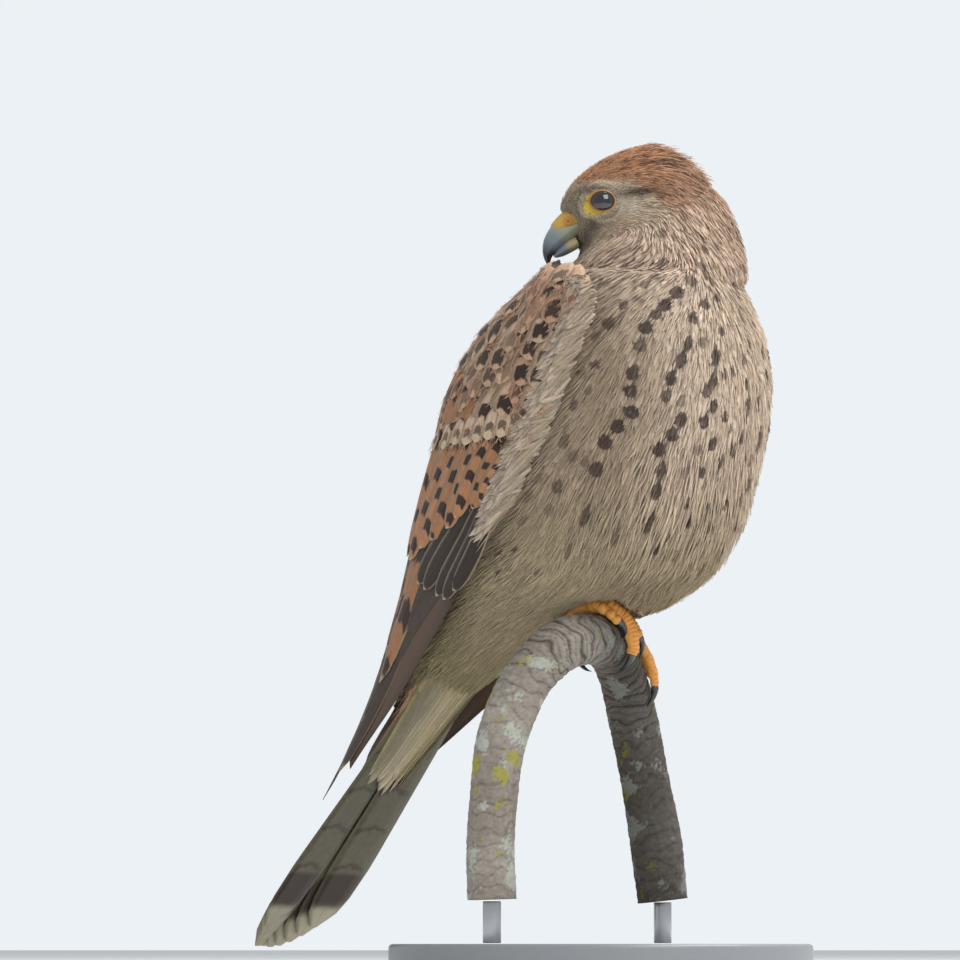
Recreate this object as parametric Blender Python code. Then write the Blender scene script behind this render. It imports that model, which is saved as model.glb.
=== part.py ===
"""Common kestrel, life size, gripping a cut length of branch on a plain stand.

World axes: X to the bird's shown side, Y away from the viewer, Z up, origin under the middle of the base.
All sizes below are in millimetres and every mesh is written in metres.
"""

import math

import bmesh
import bpy
import numpy as np
from mathutils import Vector

MM = 0.001
GAP = 0.3

# Pose: the body heads to the viewer's right and the head is turned back over its own right shoulder
BODY_HEADING = math.radians(-40)
HEAD_HEADING = math.radians(189)
HEAD_PLACE = (-1.1, -7.7, 277.0)

# Bird
TAIL_BASE = (-47, 0, 136)
TAIL_LENGTH = 168
TAIL_SLOPE = math.radians(41.4)
TAIL_SWING = -0.032
EYE_RADIUS = 6.2
EYE_SIDE = 10.3
EYE_OPENING = 4.6
EYE_LOOK = (0.12, 0.02)
LID_WIDTH = 0.75
LID_WIDENING = 0.8
LID_HEIGHT = 0.9
NOSTRIL_PLACE = (11.2, 4.6, -6.3)
NOSTRIL_RADIUS = 1.0
SHANK_LENGTH = 15
SHANK_LEAN = 5
TOE_RADIUS = 2.5
CLAW_LENGTH = 9
CLAW_RADIUS = 1.55
CLAW_TIP = 0.22
CLAW_BENDS = (8, 14)

# Perch and stand
BRANCH_RADIUS = 8.8
BASE_RADIUS = 76
BASE_HEIGHT = 12
ROD_RADIUS = 3.2

FEATHER_BROWN = (0.42, 0.24, 0.13)
FEATHER_BUFF = (0.62, 0.47, 0.33)
SKIN_YELLOW = (0.80, 0.36, 0.05)
HORN_DARK = (0.03, 0.035, 0.05)
HORN_BLUE = (0.22, 0.26, 0.32)
EYE_BROWN = (0.02, 0.012, 0.008)
BARK = (0.30, 0.25, 0.21)
STAND_GREY = (0.55, 0.54, 0.52)
STEEL = (0.60, 0.60, 0.60)


def clear_scene():
    for old in list(bpy.data.objects):
        bpy.data.objects.remove(old, do_unlink=True)


def unit(v):
    return Vector(v).normalized()


def turned(point, heading, place=(0, 0, 0)):
    """A point of a frame that faces +X, turned to its heading about Z and moved to its place."""
    c, s = math.cos(heading), math.sin(heading)
    x, y, z = point
    return Vector((c * x - s * y, s * x + c * y, z)) + Vector(place)


def body(x, y, z):
    return turned((x, y, z), BODY_HEADING)


def skull(p, q, r):
    """A point of the head: p towards the bill, q to its left side, r up, from between the eyes."""
    return turned((p, q, r), HEAD_HEADING, HEAD_PLACE)


def spread_at(rows, share):
    """One row of numbers on the smooth curve through all rows, at a share from 0 to 1."""
    step = share * (len(rows) - 1)
    i = max(min(int(step), len(rows) - 2), 0)
    t = step - i
    a, b = np.array(rows[i], float), np.array(rows[i + 1], float)
    before = np.array(rows[i - 1], float) if i > 0 else 2 * a - b
    after = np.array(rows[i + 2], float) if i + 2 < len(rows) else 2 * b - a
    return 0.5 * (2 * a + (b - before) * t + (2 * before - 5 * a + 4 * b - after) * t ** 2
                  + (3 * a - before - 3 * b + after) * t ** 3)


def spread(rows, count):
    """Rows of numbers, drawn out to count rows on one smooth curve through them all."""
    return [spread_at(rows, i / (count - 1)) for i in range(count)]


def finish(name, mesh_points, faces, colour, roughness=0.6, metallic=0.0):
    """One closed object in metres with its own material."""
    mesh = bpy.data.meshes.new(name)
    mesh.from_pydata([tuple(c * MM for c in p) for p in mesh_points], [], faces)
    work = bmesh.new()
    work.from_mesh(mesh)
    bmesh.ops.recalc_face_normals(work, faces=work.faces)
    bmesh.ops.triangulate(work, faces=[f for f in work.faces if len(f.verts) > 4])
    work.to_mesh(mesh)
    work.free()
    mesh.shade_smooth()
    thing = bpy.data.objects.new(name, mesh)
    bpy.context.scene.collection.objects.link(thing)
    finish_material(thing, colour, roughness, metallic)
    return thing


def finish_material(thing, colour, roughness, metallic=0.0):
    material = bpy.data.materials.new(thing.name)
    material.use_nodes = True
    shader = material.node_tree.nodes["Principled BSDF"]
    shader.inputs["Base Color"].default_value = (*colour, 1)
    shader.inputs["Roughness"].default_value = roughness
    shader.inputs["Metallic"].default_value = metallic
    thing.data.materials.clear()
    thing.data.materials.append(material)


def loft(name, rings, colour, roughness=0.6):
    """A closed skin over rings of equal counts, each end drawn to the middle of its ring."""
    count = len(rings[0])
    points = [p for ring in rings for p in ring]
    faces = []
    for i in range(len(rings) - 1):
        for j in range(count):
            k = (j + 1) % count
            a, b = i * count, (i + 1) * count
            faces.append((a + j, a + k, b + k))
            faces.append((a + j, b + k, b + j))
    for first in (0, len(rings) - 1):
        middle = sum((Vector(p) for p in rings[first]), Vector()) / count
        points.append(middle)
        for j in range(count):
            faces.append((first * count + j, first * count + (j + 1) % count, len(points) - 1))
    return finish(name, points, faces, colour, roughness)


def ring(place, side, up, half_side, half_up, half_down, count):
    """An oval round a place; its lower half may be deeper or shallower than its upper half."""
    out = []
    for j in range(count):
        angle = 2 * math.pi * j / count
        c, s = math.cos(angle), math.sin(angle)
        out.append(Vector(place) + side * (half_side * c) + up * ((half_up if s > 0 else half_down) * s))
    return out


def tube(name, path, radii, colour, sides=8, roughness=0.6):
    """A round-ended tube along a path with a radius at each point."""
    path = [Vector(p) for p in path]
    rings = []
    side = None
    for i, place in enumerate(path):
        along = (path[min(i + 1, len(path) - 1)] - path[max(i - 1, 0)]).normalized()
        if side is None:
            side = along.cross(Vector((0, 0, 1))).normalized()
        side = (side - along * side.dot(along)).normalized()
        up = side.cross(along)
        rings.append(ring(place, side, up, radii[i], radii[i], radii[i], sides))
    return loft(name, rings, colour, roughness)


def vane(path, faces_out, half_widths, thickness):
    """One feather: a closed blade, thickest along its shaft, split alike on its two faces."""
    path = [Vector(p) for p in path]
    points, faces = [], []
    last = len(path) - 1
    for i, place in enumerate(path):
        along = (path[min(i + 1, last)] - path[max(i - 1, 0)]).normalized()
        out = Vector(faces_out[i])
        out = (out - along * out.dot(along)).normalized()
        side = along.cross(out)
        half = thickness[i] / 2
        points += [place - side * half_widths[i], place + out * half,
                   place + side * half_widths[i], place - out * half]
    for i in range(last):
        a, b = 4 * i, 4 * (i + 1)
        faces += [(a, a + 1, b + 1), (a, b + 1, b), (a + 1, a + 2, b + 1), (a + 2, b + 2, b + 1)]
        faces += [(a, b + 3, a + 3), (a, b, b + 3), (a + 3, b + 3, a + 2), (a + 2, b + 3, b + 2)]
    faces += [(0, 3, 1), (1, 3, 2), (4 * last, 4 * last + 1, 4 * last + 3)]
    faces += [(4 * last + 1, 4 * last + 2, 4 * last + 3)]
    return finish("vane", points, faces, FEATHER_BROWN)


def apply_all(thing):
    bpy.ops.object.select_all(action="DESELECT")
    bpy.context.view_layer.objects.active = thing
    thing.select_set(True)
    for modifier in list(thing.modifiers):
        bpy.ops.object.modifier_apply(modifier=modifier.name)


def keep_largest(thing):
    """Only the largest closed surface stays."""
    work = bmesh.new()
    work.from_mesh(thing.data)
    unseen = set(work.faces)
    bodies = []
    while unseen:
        front = [unseen.pop()]
        found = set(front)
        while front:
            face = front.pop()
            for edge in face.edges:
                for near in edge.link_faces:
                    if near in unseen:
                        unseen.discard(near)
                        found.add(near)
                        front.append(near)
        bodies.append(found)

    def volume(group):
        total = 0.0
        for face in group:
            first = face.verts[0].co
            for a, b in zip(face.verts[1:-1], face.verts[2:]):
                total += first.dot(a.co.cross(b.co)) / 6
        return total

    best = max(bodies, key=volume)
    bmesh.ops.delete(work, geom=[f for group in bodies if group is not best for f in group], context="FACES")
    loose = [v for v in work.verts if not v.link_faces]
    bmesh.ops.delete(work, geom=loose, context="VERTS")
    work.to_mesh(thing.data)
    work.free()
    thing.data.shade_smooth()


def fuse(name, pieces, colour, roughness=0.6, solver="MANIFOLD"):
    """All pieces joined into the first one by one union."""
    core = pieces[0]
    core.name = name
    core.data.name = name
    others = bpy.data.collections.new(name + "_pieces")
    for piece in pieces[1:]:
        for holder in list(piece.users_collection):
            holder.objects.unlink(piece)
        others.objects.link(piece)
    union = core.modifiers.new("union", "BOOLEAN")
    union.operation = "UNION"
    union.solver = solver
    union.operand_type = "COLLECTION"
    union.collection = others
    apply_all(core)
    for piece in pieces[1:]:
        bpy.data.objects.remove(piece, do_unlink=True)
    bpy.data.collections.remove(others)
    keep_largest(core)
    finish_material(core, colour, roughness)
    return core


def inflated(thing, amount):
    """A copy of the object, grown outwards, used only to cut its neighbours clear of it."""
    copy = thing.copy()
    copy.data = thing.data.copy()
    bpy.context.scene.collection.objects.link(copy)
    copy.hide_render = True
    copy.display_type = "WIRE"
    work = bmesh.new()
    work.from_mesh(copy.data)
    bmesh.ops.recalc_face_normals(work, faces=work.faces)
    work.normal_update()
    moves = [(v, v.normal * amount * MM * min(v.calc_shell_factor(), 2.0)) for v in work.verts]
    for v, move in moves:
        v.co += move
    work.to_mesh(copy.data)
    work.free()
    return copy


def cut_clear(thing, neighbours, gap=GAP, solver="MANIFOLD"):
    """Whatever of the object lies in its neighbours, or nearer to them than the gap, goes."""
    for neighbour in neighbours:
        cutter = inflated(neighbour, gap)
        less = thing.modifiers.new("clear", "BOOLEAN")
        less.operation = "DIFFERENCE"
        less.solver = solver
        less.object = cutter
        apply_all(thing)
        bpy.data.objects.remove(cutter, do_unlink=True)
    keep_largest(thing)


def keep_side(thing, place, normal, gap=GAP):
    """The object on the far side of a plane, half a gap clear of it."""
    work = bmesh.new()
    work.from_mesh(thing.data)
    normal = unit(normal)
    made = bmesh.ops.bisect_plane(
        work, geom=work.verts[:] + work.edges[:] + work.faces[:], dist=1e-8,
        plane_co=(Vector(place) + normal * gap / 2) * MM, plane_no=-normal, clear_outer=True,
    )
    rim = [e for e in made["geom_cut"] if isinstance(e, bmesh.types.BMEdge)]
    cap = bmesh.ops.contextual_create(work, geom=rim)
    bmesh.ops.triangulate(work, faces=cap["faces"])
    bmesh.ops.recalc_face_normals(work, faces=work.faces)
    work.to_mesh(thing.data)
    work.free()


# Torso and neck: centre x and z, tilt of the section, half depth, half width, in the body's frame
TORSO_ROWS = (
    (-86, 97, -49, 4, 15),
    (-72, 113, -49, 12, 21),
    (-59, 128, -52, 20, 26),
    (-46, 142, -54, 29, 33),
    (-30, 157, -50, 44, 42),
    (-11, 171, -42, 55.5, 47),
    (1.5, 184.5, -35, 58, 49),
    (11, 200, -29, 55.5, 48.5),
    (19, 216, -24, 52.5, 46.5),
    (22, 231, -17, 48.5, 43.5),
    (23, 245, -11, 40, 38),
    (25, 255, -6, 29, 30),
)
SECTION_POINTS = 22

# The belly draws in round the foot that shows: middle in the world, reach and depth of the hollow
FOOT_HOLLOW = ((1, -17, 127), 15, 7.5)


def drawn_in(point):
    middle, reach, depth = FOOT_HOLLOW
    away = (point - Vector(middle)).length / reach
    return point + Vector((0, 0.5, 0.87)) * depth * math.exp(-away ** 2)


def torso_shape():
    rings = []
    for x, z, tilt, half_depth, half_width in spread(TORSO_ROWS, 15):
        tilt = math.radians(tilt)
        deep = body(math.cos(tilt), 0, math.sin(tilt))
        wide = body(0, 1, 0)
        oval = ring(body(x, 0, z), deep, wide, half_depth, half_width, half_width, SECTION_POINTS)
        rings.append([drawn_in(point) for point in oval])
    return loft("torso", rings, FEATHER_BUFF, 0.8)


# Where the torso ends and the neck begins, and the slanting line from nape to chin where the head begins
COLLAR_PLACE, COLLAR_NORMAL = (20, -12, 250), (0.05, 0.0, 1.0)
NAPE_PLACE, NAPE_NORMAL = (38.5, -5, 284.5), (-0.45, 0.0, 0.89)

# Neck: height, middle x and y in the world, half size towards and away from the bill, half size across
NECK_ROWS = (
    (244, 19, -13, 36, 35),
    (252, 20.5, -11.5, 34, 32),
    (261, 23, -9, 30.5, 27),
    (268, 25.5, -7, 26, 24),
    (276, 30, -5.5, 18.5, 19),
    (283, 32, -5, 12, 13),
    (287, 32.5, -4.5, 5, 6),
)


def neck_shape():
    ahead = unit(turned((1, 0, 0), HEAD_HEADING))
    across = unit(turned((0, 1, 0), HEAD_HEADING))
    rings = [ring((x, y, z), ahead, across, half, wide, wide, 20) for z, x, y, half, wide in spread(NECK_ROWS, 9)]
    return loft("neck", rings, FEATHER_BUFF, 0.8)


# Head: place along the bill's line, crown height, throat depth, half width, and the height where it is widest
HEAD_ROWS = (
    (15.0, 0.5, -2.4, 2.2, -1),
    (12.9, 5.0, -4.0, 5.2, -0.5),
    (10.2, 9.2, -6.6, 8.2, -1.5),
    (7.8, 11.8, -13.0, 10.4, -3.5),
    (5.2, 14.0, -20.5, 12.4, -5),
    (-0.9, 18.5, -24.0, 14.8, -5),
    (-8.2, 21.8, -26.5, 17.6, -5),
    (-15.5, 24.0, -28.0, 19.6, -5),
    (-21.3, 24.4, -28.0, 20.4, -5),
    (-28.5, 21.0, -26.0, 19.8, -5),
    (-35.5, 16.0, -22.0, 17.0, -4),
    (-41.0, 9.6, -16.0, 12.0, -3),
    (-44.5, 3.0, -9.0, 5.5, -3),
)


def head_shape():
    across = unit(turned((0, 1, 0), HEAD_HEADING))
    up = Vector((0, 0, 1))
    rings = []
    for p, crown, throat, half_width, level in spread(HEAD_ROWS, 16):
        rings.append(ring(skull(p, 0, level), across, up, half_width, crown - level, level - throat, 20))
    return loft("head", rings, FEATHER_BROWN, 0.8)


def eye_place(side):
    return skull(0, side * EYE_SIDE, 0)


def eyes(head):
    """Both balls, their sockets, the ring of each lid and the ridge of each brow."""
    made = {}
    extras = []
    for side, name in ((1, "eye_left"), (-1, "eye_right")):
        place = eye_place(side)
        bpy.ops.mesh.primitive_uv_sphere_add(
            segments=14, ring_count=9, radius=EYE_RADIUS * MM, location=(0, 0, 0),
        )
        ball = bpy.context.active_object
        ball.name = ball.data.name = name
        look = unit(turned((EYE_LOOK[0], side, EYE_LOOK[1]), HEAD_HEADING))
        turn = Vector((0, 0, 1)).rotation_difference(look).to_matrix().to_4x4()
        ball.data.transform(turn)
        ball.data.transform(turn.Translation(place * MM))
        ball.data.shade_smooth()
        finish_material(ball, EYE_BROWN, 0.1)
        made[name] = ball
        extras.append((side, place, look))
    pieces = [head, chin()]
    for side, place, look in extras:
        pieces.append(lid_ring(side, place, look))
        pieces.append(brow_ridge(side))
    head = fuse("head", pieces, FEATHER_BROWN, 0.8)
    cut_clear(head, made.values())
    return head, made


def lid_ring(side, place, look):
    """The bare rim of the lids, close round the opening."""
    centre = place + look * math.sqrt(EYE_RADIUS ** 2 - EYE_OPENING ** 2)
    upright = (Vector((0, 0, 1)) - look * look.z).normalized()
    ahead = upright.cross(look) * side
    points, faces = [], []
    around, across = 16, 4
    for i in range(around):
        angle = 2 * math.pi * i / around
        out = ahead * math.cos(angle) + upright * math.sin(angle)
        wide = LID_WIDTH + LID_WIDENING * max(math.cos(angle), 0) ** 2
        for j in range(across):
            turn = 2 * math.pi * j / across
            points.append(
                centre + out * (EYE_OPENING + GAP + wide + wide * math.cos(turn))
                + look * LID_HEIGHT * math.sin(turn)
            )
    for i in range(around):
        for j in range(across):
            a, b = i * across, ((i + 1) % around) * across
            k = (j + 1) % across
            faces.append((a + j, a + k, b + k))
            faces.append((a + j, b + k, b + j))
    return finish("lids", points, faces, SKIN_YELLOW)


# Brow and chin, from the bill backwards and from the throat forwards: p, q and r in the head's frame, radius
BROW_ROWS = ((8.0, 8.8, 4.4, 0.5), (3.5, 11.8, 6.2, 1.8), (-1.5, 13.5, 6.6, 1.8), (-8.5, 15.6, 4.6, 0.5))
CHIN_ROWS = ((0, 0, -20, 5.5), (5.5, 0, -20.5, 4.6), (9.5, 0, -20.2, 3.0), (11.8, 0, -19.4, 1.2))


def brow_ridge(side):
    rows = spread(BROW_ROWS, 6)
    path = [skull(p, side * q, r) for p, q, r, _ in rows]
    return tube("brow", path, [row[3] for row in rows], FEATHER_BROWN, 6)


def chin():
    path = [skull(p, q, r) for p, q, r, _ in CHIN_ROWS]
    return tube("chin", path, [row[3] for row in CHIN_ROWS], FEATHER_BUFF, 8)


# Upper bill and cere: p and r of the middle, direction in the head's mid plane, half height, half width
BILL_ROWS = (
    (6.0, -5.0, -38, 5.6, 5.6),
    (9.6, -7.2, -40, 5.3, 5.3),
    (13.0, -10.0, -46, 4.6, 4.6),
    (15.9, -13.6, -62, 3.7, 3.6),
    (17.4, -16.8, -80, 2.4, 2.4),
    (17.8, -19.4, -94, 1.3, 1.2),
    (17.4, -22.0, -102, 0.35, 0.3),
)
CERE_EDGE = (12.4, -9.5)
CERE_SLOPE = math.radians(-44)
MOUTH_ROWS = (
    (7.6, -13.2, -30, 2.6, 4.0),
    (10.5, -15.0, -34, 2.5, 3.6),
    (13.2, -16.8, -38, 2.0, 2.8),
    (15.4, -18.3, -40, 0.9, 1.5),
)


def bill_loft(name, rows, count, colour):
    across = unit(turned((0, 1, 0), HEAD_HEADING))
    rings = []
    for p, r, slope, half_height, half_width in spread(rows, count):
        slope = math.radians(slope)
        over = unit(turned((-math.sin(slope), 0, math.cos(slope)), HEAD_HEADING))
        rings.append(ring(skull(p, 0, r), across, over, half_width, half_height, half_height * 0.85, 12))
    return loft(name, rings, colour, 0.35)


def bill(head):
    upper = bill_loft("bill_upper", BILL_ROWS, 12, HORN_BLUE)
    cere = bill_loft("cere", BILL_ROWS, 12, SKIN_YELLOW)
    edge = skull(CERE_EDGE[0], 0, CERE_EDGE[1])
    ahead = turned((math.cos(CERE_SLOPE), 0, math.sin(CERE_SLOPE)), HEAD_HEADING)
    keep_side(upper, edge, ahead)
    keep_side(cere, edge, -ahead)
    lower = bill_loft("bill_lower", MOUTH_ROWS, 6, HORN_BLUE)
    cut_clear(lower, (upper, cere))
    cut_clear(lower, (head,))
    cut_clear(cere, (head,))
    cut_clear(upper, (head,))
    for side in (1, -1):
        bpy.ops.mesh.primitive_uv_sphere_add(segments=10, ring_count=8, radius=NOSTRIL_RADIUS * MM)
        hole = bpy.context.active_object
        p, q, r = NOSTRIL_PLACE
        hole.location = skull(p, side * q, r) * MM
        bpy.ops.object.transform_apply(location=True, rotation=False, scale=False)
        cut_clear(cere, (hole,), 0.05)
        bpy.data.objects.remove(hole, do_unlink=True)
    return cere, upper, lower


# Folded wing: where the leading edge runs (x, out, z) and where the hind edge runs, in the body's frame
WING_ROWS = (
    (20, 38, 250, 2, 25, 256),
    (28, 46, 238, -13, 15, 249),
    (22, 51, 217, -29, 9, 241),
    (12, 52, 196, -42, 6, 232),
    (-2, 51, 175, -54, 4.5, 216),
    (-17, 47, 152, -61, 4, 197),
    (-36, 40, 134, -69, 4, 174),
    (-55, 33, 117, -77, 4, 150),
    (-75, 26, 100, -87, 5, 126),
    (-97, 20, 82, -100, 7, 98),
    (-121, 12, 63, -122, 10, 66),
)
WING_THICKNESS = 4.6
CORE_END = 0.8
VANE_THICKNESS = 1.3
SHINGLE_TILT = 0.13
LONG_VANE = ((0, 0.4, 0.78, 0.94, 1.0), (0.6, 1.0, 0.9, 0.55, 0.12))
SHORT_VANE = ((0, 0.5, 0.86, 1.0), (0.6, 1.0, 0.75, 0.15))
PRIMARY_TIPS = (0.955, 1.0, 0.985, 0.95, 0.905, 0.86, 0.82)
PRIMARY_ROOTS = ((0.46, 0.07), (0.52, 0.57))
PRIMARY_TIPS_ACROSS = (0.2, 0.8)
PRIMARY_HALF_WIDTH = 5.2
PRIMARY_LIFTS = (-1.6, -0.6, 0.22)

# Tiers of the folded wing: count, first and last root, first and last tip as (along, across), half widths,
# lifts at root and tip, long or short feathers
WING_TIERS = (
    (5, ((0.34, 0.30), (0.30, 0.92)), ((0.66, 0.30), (0.84, 0.90)), (5.5, 6.5), (-1.0, 1.0), True),
    (4, ((0.30, 0.06), (0.33, 0.20)), ((0.50, 0.06), (0.60, 0.26)), (4.2, 4.2), (-0.9, 1.5), False),
    (6, ((0.27, 0.22), (0.20, 0.90)), ((0.49, 0.24), (0.60, 0.90)), (5.0, 6.5), (-0.9, 2.1), False),
    (7, ((0.17, 0.10), (0.10, 0.90)), ((0.38, 0.12), (0.40, 0.92)), (4.8, 6.0), (-0.9, 2.4), False),
    (6, ((0.05, 0.10), (0.02, 0.85)), ((0.22, 0.12), (0.24, 0.90)), (5.2, 6.2), (-0.9, 2.2), False),
)


def wing_point(side, along, across):
    """A point of the folded wing's outer sheet: along from the wrist to the tip, across from the
    leading edge to the hind edge, both 0 to 1, on ovals about the body's middle plane."""
    x0, out0, z0, x1, out1, z1 = spread_at(WING_ROWS, along)
    far = math.acos(min(out1 / out0, 0.999))
    reach = 1 / max(math.sin(far), 0.05)
    angle = far * across
    lift = math.sin(angle) * reach
    return body(x0 + (x1 - x0) * lift, side * out0 * math.cos(angle), z0 + (z1 - z0) * lift)


def wing_normal(side, along, across):
    step = 0.01
    a0, a1 = max(along - step, 0), min(along + step, 1)
    c0, c1 = max(across - step, 0), min(across + step, 1)
    down = wing_point(side, a1, across) - wing_point(side, a0, across)
    back = wing_point(side, along, c1) - wing_point(side, along, c0)
    normal = down.cross(back).normalized()
    outward = body(-0.4, side, 0.1)
    return normal if normal.dot(outward) > 0 else -normal


def core_half(along):
    """Half the thickness of the wing's core, thinner towards the tip."""
    return WING_THICKNESS / 2 * (1 - 0.55 * along / CORE_END)


def wing_core(side, columns=6, rows=10):
    """The plate of the folded wing that all its feathers root in."""
    outer, inner = [], []
    for i in range(rows):
        along = CORE_END * i / (rows - 1)
        for j in range(columns):
            across = 0.02 + 0.96 * j / (columns - 1)
            edge = min(i, rows - 1 - i, j, columns - 1 - j)
            half = core_half(along) * (0.4 if edge == 0 else 1)
            place = wing_point(side, along, across)
            normal = wing_normal(side, along, across)
            outer.append(place + normal * half)
            inner.append(place - normal * half)
    points = outer + inner
    total = rows * columns
    faces = []
    for i in range(rows - 1):
        for j in range(columns - 1):
            a, b = i * columns + j, (i + 1) * columns + j
            faces += [(a, b, b + 1), (a, b + 1, a + 1)]
            faces += [(total + a, total + b + 1, total + b), (total + a, total + a + 1, total + b + 1)]
    rim = [j for j in range(columns)]
    rim += [i * columns + columns - 1 for i in range(1, rows)]
    rim += [(rows - 1) * columns + j for j in range(columns - 2, -1, -1)]
    rim += [i * columns for i in range(rows - 2, 0, -1)]
    for a, b in zip(rim, rim[1:] + rim[:1]):
        faces += [(a, b, total + b), (a, total + b, total + a)]
    return finish("wing_core", points, faces, FEATHER_BROWN)


def wing_vane(side, root, tip, half_width, lifts, long_one):
    """One feather on the folded wing: root and tip as (along, across), lifts above the core at each end."""
    shares, widths = LONG_VANE if long_one else SHORT_VANE
    path, normals, halves, thick = [], [], [], []
    for share, wide in zip(shares, widths):
        along = root[0] + (tip[0] - root[0]) * share
        across = root[1] + (tip[1] - root[1]) * share
        normal = wing_normal(side, along, across)
        lift = core_half(min(along, CORE_END)) + lifts[0] + (lifts[1] - lifts[0]) * share ** 0.8
        path.append(wing_point(side, along, across) + normal * lift)
        normals.append(normal)
        halves.append(half_width * wide)
        thick.append(VANE_THICKNESS * (1 if share < 0.9 else 0.6))
    towards_front = wing_point(side, root[0], max(root[1] - 0.05, 0)) - wing_point(side, *root)
    tilted = [(normal - towards_front.normalized() * SHINGLE_TILT).normalized() for normal in normals]
    return vane(path, tilted, halves, thick)


def tier(side, count, roots, tips, half_width, lifts, long_one=False):
    """A row of like feathers, evenly spread between the first and last root and tip."""
    made = []
    for i in range(count):
        share = i / (count - 1)
        root = [a + (b - a) * share for a, b in zip(*roots)]
        tip = [a + (b - a) * share for a, b in zip(*tips)]
        wide = half_width[0] + (half_width[1] - half_width[0]) * share
        made.append(wing_vane(side, root, tip, wide, lifts, long_one))
    return made


def primaries(side):
    """The long outer flight feathers: the outermost lies lowest, and the tips step back inwards."""
    made = []
    for i, tip in enumerate(PRIMARY_TIPS):
        share = i / (len(PRIMARY_TIPS) - 1)
        root = [a + (b - a) * share for a, b in zip(*PRIMARY_ROOTS)]
        end = (tip, PRIMARY_TIPS_ACROSS[0] + (PRIMARY_TIPS_ACROSS[1] - PRIMARY_TIPS_ACROSS[0]) * share)
        lifts = (PRIMARY_LIFTS[0], PRIMARY_LIFTS[1] + PRIMARY_LIFTS[2] * i)
        made.append(wing_vane(side, root, end, PRIMARY_HALF_WIDTH, lifts, True))
    return made


def wing(side, name):
    pieces = [wing_core(side)]
    pieces += primaries(side)
    for count, roots, tips, half_width, lifts, long_one in WING_TIERS:
        pieces += tier(side, count, roots, tips, half_width, lifts, long_one)
    return fuse(name, pieces, FEATHER_BROWN, 0.8)


# Tail: six pairs, each one further to the side, lower and shorter than the last
TAIL_FEATHERS = 6
TAIL_VANE = ((0.1, 0.4, 0.8, 0.95, 1.0), (0.6, 0.85, 1.0, 0.75, 0.2))
TAIL_HALF_WIDTH = 10.5
TAIL_SHORTENING = 0.0035
TAIL_STEP_DOWN = 1.25
TAIL_STEP_OUT = (0.7, 1.65)
TAIL_RISE = 2.5
# The tail coverts: share of the tail's length, half width, height above and depth below the feathers
TAIL_COVERTS = (
    (0.03, 15, 6, 7.5),
    (0.16, 17, 6, 8.5),
    (0.32, 16.5, 4.6, 8),
    (0.46, 12.5, 2.6, 6.5),
    (0.56, 6.5, 1.4, 4.5),
    (0.6, 2, 0.6, 2.8),
)


def tail_frame():
    ahead = unit(body(-math.sin(TAIL_SLOPE), TAIL_SWING, -math.cos(TAIL_SLOPE)))
    above = body(-math.cos(TAIL_SLOPE), 0, math.sin(TAIL_SLOPE))
    return body(*TAIL_BASE), ahead, above, body(0, 1, 0)


def tail():
    """Twelve feathers rooted in the block of the tail coverts, the middle pair on top."""
    base, ahead, above, left = tail_frame()
    rings = []
    for share, half_width, over, under in TAIL_COVERTS:
        rings.append(ring(base + ahead * TAIL_LENGTH * share, left, above, half_width, over, under, 14))
    pieces = [loft("tail", rings, FEATHER_BUFF)]
    for i in range(TAIL_FEATHERS):
        for side in (1, -1):
            pieces.append(tail_feather(base, ahead, above, left, i, side))
    return fuse("tail", pieces, FEATHER_BUFF, 0.8)


def tail_feather(base, ahead, above, left, i, side):
    length = TAIL_LENGTH * (1 - TAIL_SHORTENING * i * i)
    path, normals, halves, thick = [], [], [], []
    drop = TAIL_STEP_DOWN * (i + (0.5 if side > 0 else 0))
    for share, wide in zip(*TAIL_VANE):
        sideways = side * (0.8 + (TAIL_STEP_OUT[0] + TAIL_STEP_OUT[1] * share) * i)
        sunk = drop * (0.35 + 0.65 * share) - TAIL_RISE
        path.append(base + ahead * length * share + left * sideways - above * sunk)
        normals.append(above + left * side * 0.06)
        halves.append(TAIL_HALF_WIDTH * wide)
        thick.append(1.1 if share < 0.9 else 0.6)
    return vane(path, normals, halves, thick)


# Branch: the arch's middle line in the world, and its thickness as a share of the named radius
BRANCH_ROWS = (
    (-39, -34, 27.6, 0.98),
    (-39.5, -34, 45, 0.95),
    (-38.5, -33.5, 62, 0.98),
    (-35.5, -32, 84, 1.0),
    (-27, -29, 104.5, 1.04),
    (-14.5, -22.5, 117.5, 1.06),
    (-3, -11.5, 120.4, 1.0),
    (3.5, 0, 117, 0.97),
    (8.5, 10.5, 107.5, 0.97),
    (12.5, 17, 92, 1.0),
    (16.5, 20, 72, 1.02),
    (20.5, 21.5, 49.5, 1.05),
    (23, 22, 27.6, 1.05),
)


def branch():
    rows = spread(BRANCH_ROWS, 24)
    path = [Vector(row[:3]) for row in rows]
    radii = [BRANCH_RADIUS * row[3] * (1 + 0.035 * math.sin(2.1 * i)) for i, row in enumerate(rows)]
    return tube("perch_branch", path, radii, BARK, 12, 0.9)


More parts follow.
